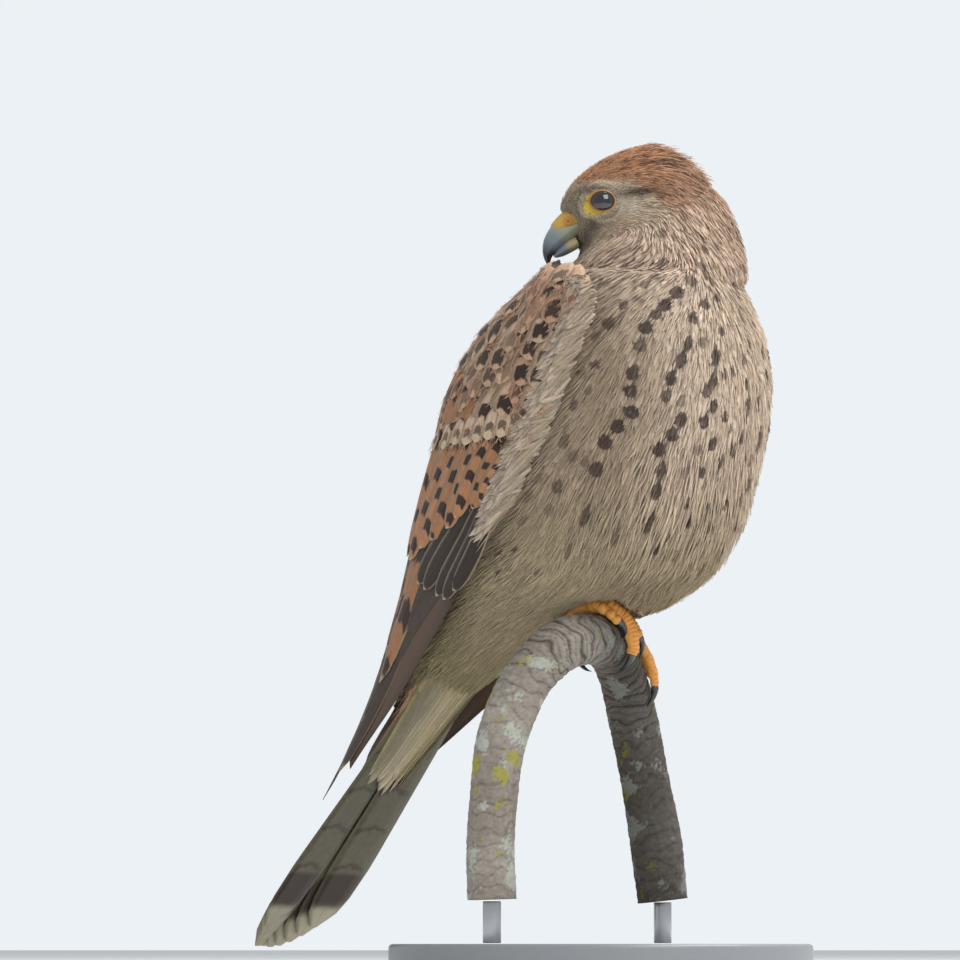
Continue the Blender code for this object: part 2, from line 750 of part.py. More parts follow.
def stand():
    bpy.ops.mesh.primitive_cylinder_add(vertices=56, radius=BASE_RADIUS * MM, depth=BASE_HEIGHT * MM,
                                        location=(0, 0, BASE_HEIGHT / 2 * MM))
    base = bpy.context.active_object
    base.name = base.data.name = "stand_base"
    bevel = base.modifiers.new("edge", "BEVEL")
    bevel.width = 1.5 * MM
    bevel.segments = 1
    bevel.limit_method = "ANGLE"
    finish_material(base, STAND_GREY, 0.5)
    rods = []
    for name, row in (("stand_rod_near", BRANCH_ROWS[0]), ("stand_rod_far", BRANCH_ROWS[-1])):
        bottom, top = BASE_HEIGHT + GAP, row[2] - 2 * GAP
        bpy.ops.mesh.primitive_cylinder_add(vertices=20, radius=ROD_RADIUS * MM, depth=(top - bottom) * MM,
                                            location=(row[0] * MM, row[1] * MM, (top + bottom) / 2 * MM))
        rod = bpy.context.active_object
        rod.name = rod.data.name = name
        finish_material(rod, STEEL, 0.3, 1.0)
        rods.append(rod)
    return base, rods


def branch_frame(distance):
    """Middle, direction, up and forward of the branch at a distance from its top, along the bird's left."""
    rows = spread(BRANCH_ROWS, 240)
    path = [Vector(row[:3]) for row in rows]
    top = max(range(len(path)), key=lambda i: path[i].z)
    i = top
    walked = 0.0
    step = 1 if distance > 0 else -1
    while walked < abs(distance) and 1 < i < len(path) - 2:
        walked += (path[i + step] - path[i]).length
        i += step
    along = (path[i + 1] - path[i - 1]).normalized()
    ahead = body(1, 0, 0)
    ahead = (ahead - along * ahead.dot(along)).normalized()
    up = ahead.cross(along)
    up = up if up.z > 0 else -up
    return path[i], along, up, ahead, BRANCH_RADIUS * rows[i][3]


def grip_path(stops, clearance):
    """Points on the branch's surface: each stop is a distance along it and an angle forward from its top."""
    out = []
    for distance, angle, extra in spread(stops, 9):
        middle, _, up, ahead, radius = branch_frame(distance)
        angle = math.radians(angle)
        out.append(middle + (up * math.cos(angle) + ahead * math.sin(angle)) * (radius + clearance + extra))
    return out


# Toes: stops of (distance along the branch, degrees forward from its top, lift), thickness share
RIGHT_TOES = (
    (((2, -6, 2.4), (4, 28, 1.2), (7, 64, 0.6), (10, 104, 0.4)), 1.08),
    (((3, -6, 2.4), (7, 12, 1.8), (11.5, 30, 1.0), (15.5, 50, 0.6)), 0.98),
    (((1, -8, 2.2), (1, 12, 1.2), (2, 34, 0.5), (3, 54, 0.3)), 0.85),
    (((1, -14, 2.4), (-1, -50, 1.2), (-2, -85, 0.5), (-3, -112, 0.3)), 0.9),
)
LEFT_TOES = (
    (((17, -8, 2.4), (22, 3, 1.6), (28, 12, 0.9), (34, 22, 0.5)), 1.08),
    (((18, -6, 2.2), (24, 25, 1.0), (29, 48, 0.5), (34, 72, 0.3)), 0.8),
    (((16, -10, 2.2), (21, -24, 1.2), (26, -38, 0.6), (30, -52, 0.4)), 0.9),
    (((16, -14, 2.2), (14, -50, 1.0), (13, -85, 0.5), (12, -112, 0.3)), 0.9),
)
# Each leg's side, its toes and how far from the branch's top it stands
LEGS = (("right", RIGHT_TOES, 2), ("left", LEFT_TOES, 17))


# The room left under the belly for the toes: its ends along the branch, its height over the middle, its radius
TOE_ROOM = (-5, 33, 2.8, 13.8)


def toe_room():
    first, last, height, radius = TOE_ROOM
    path = []
    for i in range(6):
        middle, _, up, _, _ = branch_frame(first + (last - first) * i / 5)
        path.append(middle + up * height)
    return tube("toe_room", path, [radius * 0.6] + [radius] * 4 + [radius * 0.6], FEATHER_BUFF, 12)


SHANK_SHARES = (1.0, 0.96, 0.96, 1.08, 1.24)


def shank(name, stand_at):
    """The bare shank that comes out of the belly and widens into the foot, and the middle of that foot."""
    middle, _, up, ahead, radius = branch_frame(stand_at)
    root = middle + up * (radius + TOE_RADIUS + 1.2) - ahead * 2.0
    knee = Vector((0, 0, SHANK_LENGTH)) - ahead * SHANK_LEAN
    path = [root + knee, root + knee * 0.45, root]
    return tube(name, spread(path, 5), [TOE_RADIUS * share for share in SHANK_SHARES], SKIN_YELLOW, 8), root


def leg(side, toes, stand_at):
    """Shank and four toes as one piece, with a claw for each."""
    first, root = shank(f"leg_{side}", stand_at)
    pieces, claws = [first], []
    for number, (stops, share) in enumerate(toes):
        path = grip_path(stops, TOE_RADIUS * share + 0.2)
        path[0] = root
        radii = [TOE_RADIUS * share * (1.05 - 0.03 * i + 0.05 * math.cos(3.1 * i)) for i in range(len(path))]
        pieces.append(tube("toe", path, radii, SKIN_YELLOW, 6))
        claws.append(claw(f"claw_{side}_{number + 1}", path, radii[-1]))
    return pieces, claws


def claw(name, toe_path, radius):
    """A hooked cone that carries on from the end of its toe, curling in under the branch."""
    end = toe_path[-1]
    ahead = (toe_path[-1] - toe_path[-2]).normalized()
    away = away_from_branch(end)
    turn = ahead.cross(away)
    path, radii = [], []
    point = end + ahead * (radius * 0.2)
    steps = 6
    for i in range(steps + 1):
        share = i / steps
        path.append(point.copy())
        radii.append(max(CLAW_RADIUS * (1 - share) ** 0.8, CLAW_TIP))
        bend = math.radians(CLAW_BENDS[0] + CLAW_BENDS[1] * share)
        ahead = (ahead * math.cos(bend) - away * math.sin(bend)).normalized()
        away = (ahead.cross(turn)).normalized()
        point = point + ahead * (CLAW_LENGTH / steps)
    return tube(name, path, radii, HORN_DARK, 6, 0.3)


def away_from_branch(point):
    rows = spread(BRANCH_ROWS, 120)
    nearest = min((Vector(row[:3]) for row in rows), key=lambda p: (p - point).length)
    return (point - nearest).normalized()


def build():
    clear_scene()
    torso = torso_shape()
    neck = neck_shape()
    head = head_shape()
    keep_side(head, NAPE_PLACE, NAPE_NORMAL)
    perch = branch()
    stand()
    head, balls = eyes(head)
    cere, upper, lower = bill(head)
    keep_side(torso, COLLAR_PLACE, -unit(COLLAR_NORMAL))
    keep_side(neck, COLLAR_PLACE, COLLAR_NORMAL)
    keep_side(neck, NAPE_PLACE, -unit(NAPE_NORMAL))
    cut_clear(neck, (lower, cere))

    tail_fan = tail()
    wings = []
    for side, name in ((-1, "wing_right"), (1, "wing_left")):
        recess = wing_core(side, 4, 7)
        cut_clear(torso, (recess,), 0.6)
        bpy.data.objects.remove(recess, do_unlink=True)
        wings.append(wing(side, name))
    cut_clear(wings[1], (wings[0],))
    for one in wings:
        cut_clear(one, (torso, neck, head))
    cut_clear(tail_fan, [torso] + wings)

    legs = []
    for side, toes, stand_at in LEGS:
        pieces, claws = leg(side, toes, stand_at)
        whole = fuse(f"leg_{side}", pieces, SKIN_YELLOW, 0.5)
        cut_clear(whole, (perch,))
        legs.append((whole, claws))
    cut_clear(legs[1][0], (legs[0][0],))
    for _, claws in legs:
        for each in claws:
            cut_clear(each, (legs[0][0], legs[1][0], perch))
    rooms = [toe_room()] + [shank("shank_room", stand_at)[0] for _, _, stand_at in LEGS]
    room = fuse("toe_room", rooms, FEATHER_BUFF)
    cut_clear(torso, (room, perch), 0.5)
    bpy.data.objects.remove(room, do_unlink=True)
    for whole, _ in legs:
        cut_clear(whole, (torso,))


build()
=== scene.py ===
"""Common kestrel, life size, perched on a cut branch: plumage, eyes, bill, feet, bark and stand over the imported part.

World axes: X to the right of the picture, Y away from the viewer, Z up. Sizes are in millimetres until a mesh is made.
"""
import math

import bpy
import numpy as np
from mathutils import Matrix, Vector, noise
from mathutils.bvhtree import BVHTree


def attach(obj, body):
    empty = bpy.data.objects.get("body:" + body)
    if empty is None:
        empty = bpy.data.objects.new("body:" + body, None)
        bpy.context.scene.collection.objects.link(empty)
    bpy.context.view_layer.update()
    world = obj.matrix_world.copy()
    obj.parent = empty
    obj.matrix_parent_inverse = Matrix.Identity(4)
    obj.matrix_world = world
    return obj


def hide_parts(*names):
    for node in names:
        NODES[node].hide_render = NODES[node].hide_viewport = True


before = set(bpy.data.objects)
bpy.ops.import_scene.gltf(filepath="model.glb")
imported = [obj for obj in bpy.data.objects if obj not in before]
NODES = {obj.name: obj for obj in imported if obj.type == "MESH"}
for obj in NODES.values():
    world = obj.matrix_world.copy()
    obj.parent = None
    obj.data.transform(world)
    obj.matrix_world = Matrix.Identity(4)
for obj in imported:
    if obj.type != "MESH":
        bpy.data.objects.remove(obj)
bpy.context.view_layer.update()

MM = 0.001
rng = np.random.default_rng(11)

# Pose
BODY_HEADING = math.radians(-40)
HEAD_HEADING = math.radians(189)
HEAD_PLACE = np.array((-1.1, -7.7, 277.0))

# Camera: a long lens a little under the bird, looking up five degrees
CAMERA_PLACE = np.array((-43.2, -1897.0, 12.8))
CAMERA_LOOK = np.array((0.0, 0.99619, 0.08716))
CAMERA_UP = np.array((0.0, -0.08716, 0.99619))
CAMERA_LENS = 197.9
CAMERA_REACH = 1900.0
PIXEL = 0.36
PHOTO_MIDDLE = 480
# A surface turned further away from the camera than this isn't seen
FACING_LIMIT = -0.12

# Light: share of the backdrop's brightness that lights the bird, then each lamp's place and size in metres and power
BACKDROP_FILL = 0.62
LIGHTS = (("key", (0.9, -1.3, 1.5), 1.1, 15), ("top", (0.6, 0.35, 1.6), 1.1, 28))


def linear(text):
    """A colour in hex, as on a screen, turned to the linear values that materials take."""
    parts = np.array([int(text[i:i + 2], 16) for i in (1, 3, 5)]) / 255
    return np.where(parts <= 0.04045, parts / 12.92, ((parts + 0.055) / 1.055) ** 2.4)


def unit(v):
    v = np.asarray(v, float)
    return v / np.maximum(np.linalg.norm(v, axis=-1, keepdims=True), 1e-9)


def dot(a, b):
    return (np.asarray(a) * np.asarray(b)).sum(axis=-1, keepdims=True)


def ramp(x, low, high):
    """0 below low, 1 above high and a smooth rise between."""
    t = np.clip((np.asarray(x, float) - low) / (high - low), 0, 1)
    return t * t * (3 - 2 * t)


def mix(a, b, share):
    return a + (b - a) * share


def turned(points, heading):
    c, s = math.cos(heading), math.sin(heading)
    x, y, z = np.moveaxis(np.asarray(points, float), -1, 0)
    return np.stack((c * x - s * y, s * x + c * y, z), axis=-1)


def body(x, y, z):
    return turned(np.stack(np.broadcast_arrays(x, y, z), axis=-1), BODY_HEADING)


def to_body(points):
    return turned(points, -BODY_HEADING)


def skull(p, q, r):
    return turned(np.stack(np.broadcast_arrays(p, q, r), axis=-1), HEAD_HEADING) + HEAD_PLACE


def to_skull(points):
    return turned(np.asarray(points) - HEAD_PLACE, -HEAD_HEADING)


def spread_at(rows, share):
    """One row of numbers on the smooth curve through all rows, at a share from 0 to 1."""
    step = share * (len(rows) - 1)
    i = max(min(int(step), len(rows) - 2), 0)
    t = step - i
    a, b = np.array(rows[i], float), np.array(rows[i + 1], float)
    before = np.array(rows[i - 1], float) if i > 0 else 2 * a - b
    after = np.array(rows[i + 2], float) if i + 2 < len(rows) else 2 * b - a
    return 0.5 * (2 * a + (b - before) * t + (2 * before - 5 * a + 4 * b - after) * t ** 2
                  + (3 * a - before - 3 * b + after) * t ** 3)


def spread(rows, count):
    return np.array([spread_at(rows, i / (count - 1)) for i in range(count)])


def noise_at(points, scale, seed=0.0):
    """Smooth noise from -1 to 1 at each place, its features about 1/scale millimetres across."""
    shift = Vector((seed, seed * 0.7, -seed))
    places = np.asarray(points).reshape(-1, 3).tolist()
    return np.array([noise.noise(Vector(place) * scale + shift) for place in places])


# Meshes

def add_object(name, mesh):
    thing = bpy.data.objects.new(name, mesh)
    bpy.context.scene.collection.objects.link(thing)
    return thing


def quad_mesh(name, points, quads, uv=None, bake_uv=None, colours=None):
    """A mesh from arrays: points in millimetres, faces of four corners (or three, the last one twice)."""
    points = np.asarray(points, float)
    quads = np.asarray(quads)
    mesh = bpy.data.meshes.new(name)
    mesh.vertices.add(len(points))
    mesh.vertices.foreach_set("co", (points * MM).astype(np.float32).ravel())
    three = quads[:, 3] == quads[:, 2]
    sizes = np.where(three, 3, 4)
    keep = np.ones(quads.shape, bool)
    keep[three, 3] = False
    corners = quads[keep]
    starts = np.concatenate(([0], np.cumsum(sizes)[:-1]))
    mesh.loops.add(len(corners))
    mesh.loops.foreach_set("vertex_index", corners.astype(np.int32))
    mesh.polygons.add(len(quads))
    mesh.polygons.foreach_set("loop_start", starts.astype(np.int32))
    mesh.polygons.foreach_set("loop_total", sizes.astype(np.int32))
    mesh.update(calc_edges=True)
    for layer, values in (("vane", uv), ("OFBake", bake_uv)):
        if values is not None:
            made = mesh.uv_layers.new(name=layer)
            made.data.foreach_set("uv", np.asarray(values, np.float32)[corners].ravel())
    for layer, values in (colours or {}).items():
        made = mesh.color_attributes.new(layer, "FLOAT_COLOR", "POINT")
        rgba = np.ones((len(points), 4), np.float32)
        rgba[:, :3] = values
        made.data.foreach_set("color", rgba.ravel())
    mesh.validate()
    mesh.shade_smooth()
    return add_object(name, mesh)


def grid_faces(rows, columns):
    """Faces between the points of a grid, row by row."""
    i, j = np.meshgrid(np.arange(rows - 1), np.arange(columns - 1), indexing="ij")
    corner = i * columns + j
    return np.stack((corner, corner + 1, corner + columns + 1, corner + columns), axis=-1).reshape(-1, 4)


def ring_faces(count, around, flip=False):
    """Faces over rings of points, closed at each end by a point that comes after all rings."""
    i, j = np.meshgrid(np.arange(count - 1), np.arange(around), indexing="ij")
    k = (j + 1) % around
    near_ring, far_ring = i * around, (i + 1) * around
    sides = np.stack((near_ring + j, near_ring + k, far_ring + k, far_ring + j), axis=-1).reshape(-1, 4)
    j, k = j[0], k[0]
    end = (count - 1) * around
    first, last = np.full_like(j, count * around), np.full_like(j, count * around + 1)
    caps = np.concatenate((np.stack((k, j, first, first), axis=-1), np.stack((j + end, k + end, last, last), axis=-1)))
    return np.concatenate((sides[:, (0, 3, 2, 1)], caps[:, (1, 0, 2, 3)]) if flip else (sides, caps))


def vanes(path, out, half_width, thickness, camber, section):
    """Many feathers at once. path and out are (feathers, stations, 3), half_width and thickness
    (feathers, stations). Returns points, faces and where each point is, across and along."""
    count, stations = path.shape[:2]
    ahead = unit(np.gradient(path, axis=1))
    out = unit(out - ahead * dot(out, ahead))
    side = np.cross(ahead, out)
    section = np.asarray(section, float)
    ring = len(section)
    a, b = section[:, 0], section[:, 1]
    points = (path[:, :, None] + side[:, :, None] * (half_width[..., None] * a)[..., None]
              + out[:, :, None] * (thickness[..., None] * b - camber * half_width[..., None] * a ** 2)[..., None])
    base = np.arange(count)[:, None, None] * stations * ring
    i = np.arange(stations - 1)[None, :, None] * ring
    j = np.arange(ring)[None, None, :]
    k = (j + 1) % ring
    sides = np.stack(np.broadcast_arrays(base + i + j, base + i + k, base + i + ring + k,
                                         base + i + ring + j), axis=-1).reshape(-1, 4)
    caps = []
    last = (stations - 1) * ring
    half = ring // 2
    for start, flip in ((0, True), (last, False)):
        for n in range(half):
            lows = (n, n + 1, ring - n - 1, ring - n if n else 0)
            lows = tuple(low % ring for low in lows)
            quad = np.array(lows if not flip else lows[::-1]) + start
            caps.append(base[:, 0, 0][:, None] + quad)
    caps = np.concatenate(caps)
    caps = tidy_caps(caps)
    along = np.linspace(0, 1, stations)
    uv = np.stack(np.broadcast_arrays((a / 2 + 0.5)[None, None, :], along[None, :, None]), axis=-1)
    uv = np.broadcast_to(uv, (count, stations, ring, 2)).reshape(-1, 2)
    return points.reshape(-1, 3), np.concatenate((sides, caps)), uv


def tidy_caps(quads):
    """Faces whose corners repeat become triangles, with the last corner given twice, or go."""
    out = []
    for row in quads:
        seen = list(dict.fromkeys(row.tolist()))
        if len(seen) == 4:
            out.append(seen)
        elif len(seen) == 3:
            out.append(seen + [seen[2]])
    return np.array(out)


THIN = ((-1, 0), (0, 0.5), (1, 0), (0, -0.5))
HAIR = ((-1, 0), (0, 0.8), (1, 0))
BROAD = ((-1, 0), (-0.5, 0.35), (-0.08, 0.5), (0.0, 1.1), (0.08, 0.5), (0.5, 0.35), (1, 0),
         (0.5, -0.35), (0, -0.7), (-0.5, -0.35))


# Materials

def add(tree, kind, inputs=(), **settings):
    """One node with its settings. Its inputs, in order or by name, are values, or nodes and sockets to link."""
    node = tree.nodes.new("ShaderNode" + kind)
    for name, value in settings.items():
        setattr(node, name, value)
    usable = [socket for socket in node.inputs if socket.enabled]
    for socket, value in inputs.items() if isinstance(inputs, dict) else zip(usable, inputs):
        socket = node.inputs[socket] if isinstance(socket, str) else socket
        if isinstance(value, bpy.types.Node):
            value = next(output for output in value.outputs if output.enabled)
        if isinstance(value, bpy.types.NodeSocket):
            tree.links.new(value, socket)
        else:
            socket.default_value = value
    return node


def rgba(text):
    return (*linear(text), 1.0)


def material(name, **sockets):
    """A new material, its tree and its shader, with the shader's uniform values set."""
    made = bpy.data.materials.new(name)
    made.use_nodes = True
    shader = made.node_tree.nodes["Principled BSDF"]
    for socket, value in sockets.items():
        shader.inputs[socket.replace("_", " ")].default_value = value
    return made, made.node_tree, shader


MODES = {"Math": "operation", "MapRange": "interpolation_type", "Mix": "blend_type"}


def follow(tree, known, steps):
    """Adds a recipe's nodes in turn: the name of each result, its kind, its mode and its inputs, names among them."""
    for result, kind, mode, *inputs in steps:
        settings = {MODES[kind]: mode}
        if kind == "Mix":
            settings["data_type"] = "RGBA"
        inputs = [known[value] if isinstance(value, str) else value for value in inputs]
        known[result] = add(tree, kind, inputs, **settings)
    return known


def dress(tree, shader, colour, height, strength, depth):
    """Gives the shader its colour and its relief."""
    tree.links.new(next(output for output in colour.outputs if output.enabled), shader.inputs["Base Color"])
    bump = add(tree, "Bump", {"Strength": strength, "Distance": depth, "Height": height})
    tree.links.new(bump.outputs[0], shader.inputs["Normal"])


def feather_facts(tree, scale, detail):
    """What a feather carries for its recipe: tint, dark colour, three mark values, its own unwrap and grit."""
    place = add(tree, "TexCoord").outputs["Object"]
    known = {name: add(tree, "Attribute", attribute_name=name) for name in ("tint", "dark", "marks")}
    known["grit"] = add(tree, "TexNoise", {"Vector": place, "Scale": scale, "Detail": detail})
    marks = add(tree, "SeparateColor", (known.pop("marks"),)).outputs
    uv = add(tree, "SeparateXYZ", (add(tree, "UVMap", uv_map="vane"),)).outputs
    return known | {"mark_0": marks[0], "mark_1": marks[1], "mark_2": marks[2], "u": uv[0], "v": uv[1]}


def plumage_material(name, barb_pitch, roughness):
    """Feather: keratin barbs, matt with a faint silky sheen. Tint and dark marks come from where each feather lies;
    its shaft streak, pale fringe and fine barbs are drawn in the feather's own length and width."""
    made, tree, shader = material(name, Roughness=roughness, Specular_IOR_Level=0.2, Sheen_Weight=0.15,
                                  Sheen_Roughness=0.5)
    known = follow(tree, feather_facts(tree, 900.0, 3.0), (
        ("side", "Math", "MULTIPLY_ADD", "u", 2.0, -1.0),
        ("across", "Math", "ABSOLUTE", "side"),
        ("slant", "Math", "MULTIPLY_ADD", "across", -0.35, "v"),
        ("beat", "Math", "MULTIPLY", "slant", barb_pitch),
        ("barb", "Math", "SINE", "beat"),
        ("barb", "Math", "MULTIPLY_ADD", "barb", 0.05, 0.75),
        ("grain", "Math", "MULTIPLY_ADD", "grit", 0.5, "barb"),
        ("tone", "Mix", "MULTIPLY", 1.0, "tint", "grain"),
        # dark mark with a loose rim
        ("inside", "Math", "MULTIPLY_ADD", "grit", 0.16, "mark_0"),
        ("inside", "MapRange", "SMOOTHSTEP", "inside", 0.46, 0.68),
        ("tone", "Mix", "MIX", "inside", "tone", "dark"),
        # streak along the shaft, but not at the tip
        ("vane", "MapRange", "SMOOTHSTEP", "across", 0.08, 0.34),
        ("streak", "Math", "SUBTRACT", 1.0, "vane"),
        ("streak", "Math", "MULTIPLY", "streak", "mark_1"),
        ("stem", "MapRange", "SMOOTHSTEP", "v", 0.98, 0.82),
        ("streak", "Math", "MULTIPLY", "streak", "stem"),
        ("tone", "Mix", "MIX", "streak", "tone", rgba("#6A4C3A")),
        # pale fringe
        ("rim", "Math", "MAXIMUM", "across", "v"),
        ("rim", "MapRange", "SMOOTHSTEP", "rim", 0.74, 0.95),
        ("rim", "Math", "MULTIPLY", "rim", "mark_2"),
        ("tone", "Mix", "SCREEN", "rim", "tone", (0.3, 0.28, 0.25, 1)),
    ))
    dress(tree, shader, known["tone"], known["grain"], 0.3, 0.00015)
    return made


# Camera, light and floor

def make_camera():
    data = bpy.data.cameras.new("camera")
    data.lens = CAMERA_LENS
    data.sensor_width = 36
    data.clip_end = 20
    camera = add_object("camera", data)
    camera.location = CAMERA_PLACE * MM
    camera.rotation_euler = (math.radians(95), 0, 0)
    bpy.context.scene.camera = camera


def make_light():
    world = bpy.data.worlds.new("studio")
    bpy.context.scene.world = world
    world.use_nodes = True
    shade = world.node_tree.nodes["Background"]
    shade.inputs["Color"].default_value = rgba("#ECF1F5")
    seen = add(world.node_tree, "LightPath").outputs["Is Camera Ray"]
    level = add(world.node_tree, "MapRange", {"Value": seen, "To Min": BACKDROP_FILL, "To Max": 1.0})
    world.node_tree.links.new(level.outputs[0], shade.inputs["Strength"])
    for name, place, size, energy in LIGHTS:
        data = bpy.data.lights.new(name, "AREA")
        data.size = size
        data.energy = energy
        light = add_object(name, data)
        light.location = place
        light.rotation_euler = (Vector((0, 0, 0.17)) - Vector(place)).to_track_quat("-Z", "Y").to_euler()
    bpy.ops.object.select_all(action="DESELECT")
    bpy.ops.mesh.primitive_plane_add(size=12, location=(0, 0, 0))
    floor = bpy.context.active_object
    floor.name = "floor"
    # flat pale paint, without a highlight
    finish, _, _ = material("matt_painted_floor", Base_Color=rgba("#F1F2F2"), Roughness=0.8)
    floor.data.materials.append(finish)
    bpy.context.scene.view_settings.view_transform = "Standard"


def photo_ray(px, py):
    """The line of sight through a place of the picture."""
    right = np.array((1.0, 0, 0))
    far = CAMERA_LOOK * CAMERA_REACH + right * (px - PHOTO_MIDDLE) * PIXEL - CAMERA_UP * (py - PHOTO_MIDDLE) * PIXEL
    return CAMERA_PLACE, unit(far)


make_camera()
make_light()

# Folded wing, as in the solids: leading edge (x, out, z) and hind edge, in the body's frame

WING_ROWS = (
    (20, 38, 250, 2, 25, 256),
    (28, 46, 238, -13, 15, 249),
    (22, 51, 217, -29, 9, 241),
    (12, 52, 196, -42, 6, 232),
    (-2, 51, 175, -54, 4.5, 216),
    (-17, 47, 152, -61, 4, 197),
    (-36, 40, 134, -69, 4, 174),
    (-55, 33, 117, -77, 4, 150),
    (-75, 26, 100, -87, 5, 126),
    (-97, 20, 82, -100, 7, 98),
    (-121, 12, 63, -122, 10, 66),
)


def wing_point(side, along, across):
    x0, out0, z0, x1, out1, z1 = spread_at(WING_ROWS, along)
    far = math.acos(min(out1 / out0, 0.999))
    angle = far * across
    lift = math.sin(angle) / max(math.sin(far), 0.05)
    return body(x0 + (x1 - x0) * lift, side * out0 * math.cos(angle), z0 + (z1 - z0) * lift)


def wing_normal(side, along, across):
    step = 0.01
    a0, a1 = max(along - step, 0), min(along + step, 1)
    c0, c1 = max(across - step, 0), min(across + step, 1)
    down = wing_point(side, a1, across) - wing_point(side, a0, across)
    back = wing_point(side, along, c1) - wing_point(side, along, c0)
    normal = unit(np.cross(down, back))
    return normal if dot(normal, body(-0.4, side, 0.1)) > 0 else -normal


def wing_sheet(side, lift, rows=26, columns=12, end=0.97):
    """A smooth sheet just over the folded wing, that neighbouring plumage drapes on."""
    points = []
    for i in range(rows):
        for j in range(columns):
            along, across = end * i / (rows - 1), j / (columns - 1)
            points.append(wing_point(side, along, across) + wing_normal(side, along, across) * lift)
    quads = grid_faces(rows, columns)
    return np.array(points), quads[:, ::-1] if side < 0 else quads


# Skin: one closed surface over head, neck and torso, drawn in by the depth of the coat

SKIN_NODES = ("torso", "neck", "head")
VOXEL = 1.3
COAT_DEPTH = 1.5
DRAPE_LIFT = 3.4
# Swell at the front of the collar: its place, height and reach
COLLAR_PLACE, COLLAR_SWELL, COLLAR_REACH = np.array((13.0, -19.0, 255.0)), 2.6, 9.0


def unwrap(thing, degrees, margin):
    """Gives the active object the unwrap that its bake uses."""
    bpy.ops.object.mode_set(mode="EDIT")
    bpy.ops.mesh.select_all(action="SELECT")
    bpy.ops.uv.smart_project(angle_limit=math.radians(degrees), island_margin=margin)
    bpy.ops.object.mode_set(mode="OBJECT")
    thing.data.uv_layers[0].name = "OFBake"


def make_skin():
    bpy.ops.object.select_all(action="DESELECT")
    copies = []
    for name in SKIN_NODES:
        copy = NODES[name].copy()
        copy.data = NODES[name].data.copy()
        bpy.context.scene.collection.objects.link(copy)
        copy.select_set(True)
        copies.append(copy)
    bpy.context.view_layer.objects.active = copies[0]
    bpy.ops.object.join()
    skin = bpy.context.active_object
    skin.name = skin.data.name = "skin"
    skin.parent = None
    skin.data.materials.clear()
    bpy.ops.object.mode_set(mode="EDIT")
    bpy.ops.mesh.select_all(action="SELECT")
    bpy.ops.mesh.remove_doubles(threshold=1e-5)
    bpy.ops.object.mode_set(mode="OBJECT")
    remesh = skin.modifiers.new("remesh", "REMESH")
    remesh.mode = "VOXEL"
    remesh.voxel_size = VOXEL * MM
    smooth = skin.modifiers.new("smooth", "SMOOTH")
    smooth.factor = 0.6
    smooth.iterations = 7
    shrink = skin.modifiers.new("shrink", "DISPLACE")
    shrink.strength = -COAT_DEPTH * MM
    shrink.mid_level = 0
    relax = skin.modifiers.new("relax", "SMOOTH")
    relax.factor = 0.5
    relax.iterations = 3
    for modifier in list(skin.modifiers):
        bpy.ops.object.modifier_apply(modifier=modifier.name)
    places, normals = (np.empty(len(skin.data.vertices) * 3, np.float32) for _ in range(2))
    skin.data.vertices.foreach_get("co", places)
    skin.data.vertices.foreach_get("normal", normals)
    places, normals = places.reshape(-1, 3) / MM, normals.reshape(-1, 3)
    away = np.linalg.norm(places - COLLAR_PLACE, axis=1)
    places += normals * (COLLAR_SWELL * np.exp(-(away / COLLAR_REACH) ** 2))[:, None]
    skin.data.vertices.foreach_set("co", (places * MM).ravel())
    unwrap(skin, 70, 0.004)
    for layer in [layer.name for layer in skin.data.color_attributes]:
        skin.data.color_attributes.remove(skin.data.color_attributes[layer])
    skin.data.shade_smooth()
    return skin


skin = make_skin()


def mesh_arrays(thing):
    mesh = thing.data
    points = np.empty(len(mesh.vertices) * 3, np.float32)
    mesh.vertices.foreach_get("co", points)
    mesh.calc_loop_triangles()
    triangles = np.empty(len(mesh.loop_triangles) * 3, np.int32)
    mesh.loop_triangles.foreach_get("vertices", triangles)
    loops = np.empty(len(mesh.loop_triangles) * 3, np.int32)
    mesh.loop_triangles.foreach_get("loops", loops)
    return points.reshape(-1, 3) / MM, triangles.reshape(-1, 3), loops.reshape(-1, 3)


skin_points, skin_tris, skin_loops = mesh_arrays(skin)
skin_uv = np.empty(len(skin.data.loops) * 2, np.float32)
skin.data.uv_layers["OFBake"].data.foreach_get("uv", skin_uv)
skin_uv = skin_uv.reshape(-1, 2)
skin_tree = BVHTree.FromPolygons(skin_points.tolist(), skin_tris.tolist())
drape_points, drape_faces, wing_trees = skin_points, skin_tris.tolist(), {}
for wing_side in (-1, 1):
    sheet, faces = wing_sheet(wing_side, DRAPE_LIFT)
    drape_faces += (faces + len(drape_points)).tolist()
    drape_points = np.concatenate((drape_points, sheet))
    sheet, faces = wing_sheet(wing_side, 0.0)
    wing_trees[wing_side] = BVHTree.FromPolygons(sheet.tolist(), faces.tolist())
drape_tree = BVHTree.FromPolygons(drape_points.tolist(), drape_faces)


SKIN_CORNERS = [skin_points[skin_tris[:, i]] for i in range(3)]
SKIN_CROSS = np.cross(SKIN_CORNERS[1] - SKIN_CORNERS[0], SKIN_CORNERS[2] - SKIN_CORNERS[0])
SKIN_AREA = np.linalg.norm(SKIN_CROSS, axis=1)


def random_places(want, count):
    """Places on the skin, as many on each face as its share of what is wanted: place, normal and bake place."""
    pick = rng.choice(len(want), count, p=want / want.sum())
    u, v = rng.random(count), rng.random(count)
    flip = u + v > 1
    u[flip], v[flip] = 1 - u[flip], 1 - v[flip]
    weights = np.stack((1 - u - v, u, v), axis=1)
    place = sum(corner[pick] * weights[:, i:i + 1] for i, corner in enumerate(SKIN_CORNERS))
    bake = (skin_uv[skin_loops[pick]] * weights[:, :, None]).sum(axis=1)
    return place, unit(SKIN_CROSS[pick]), bake


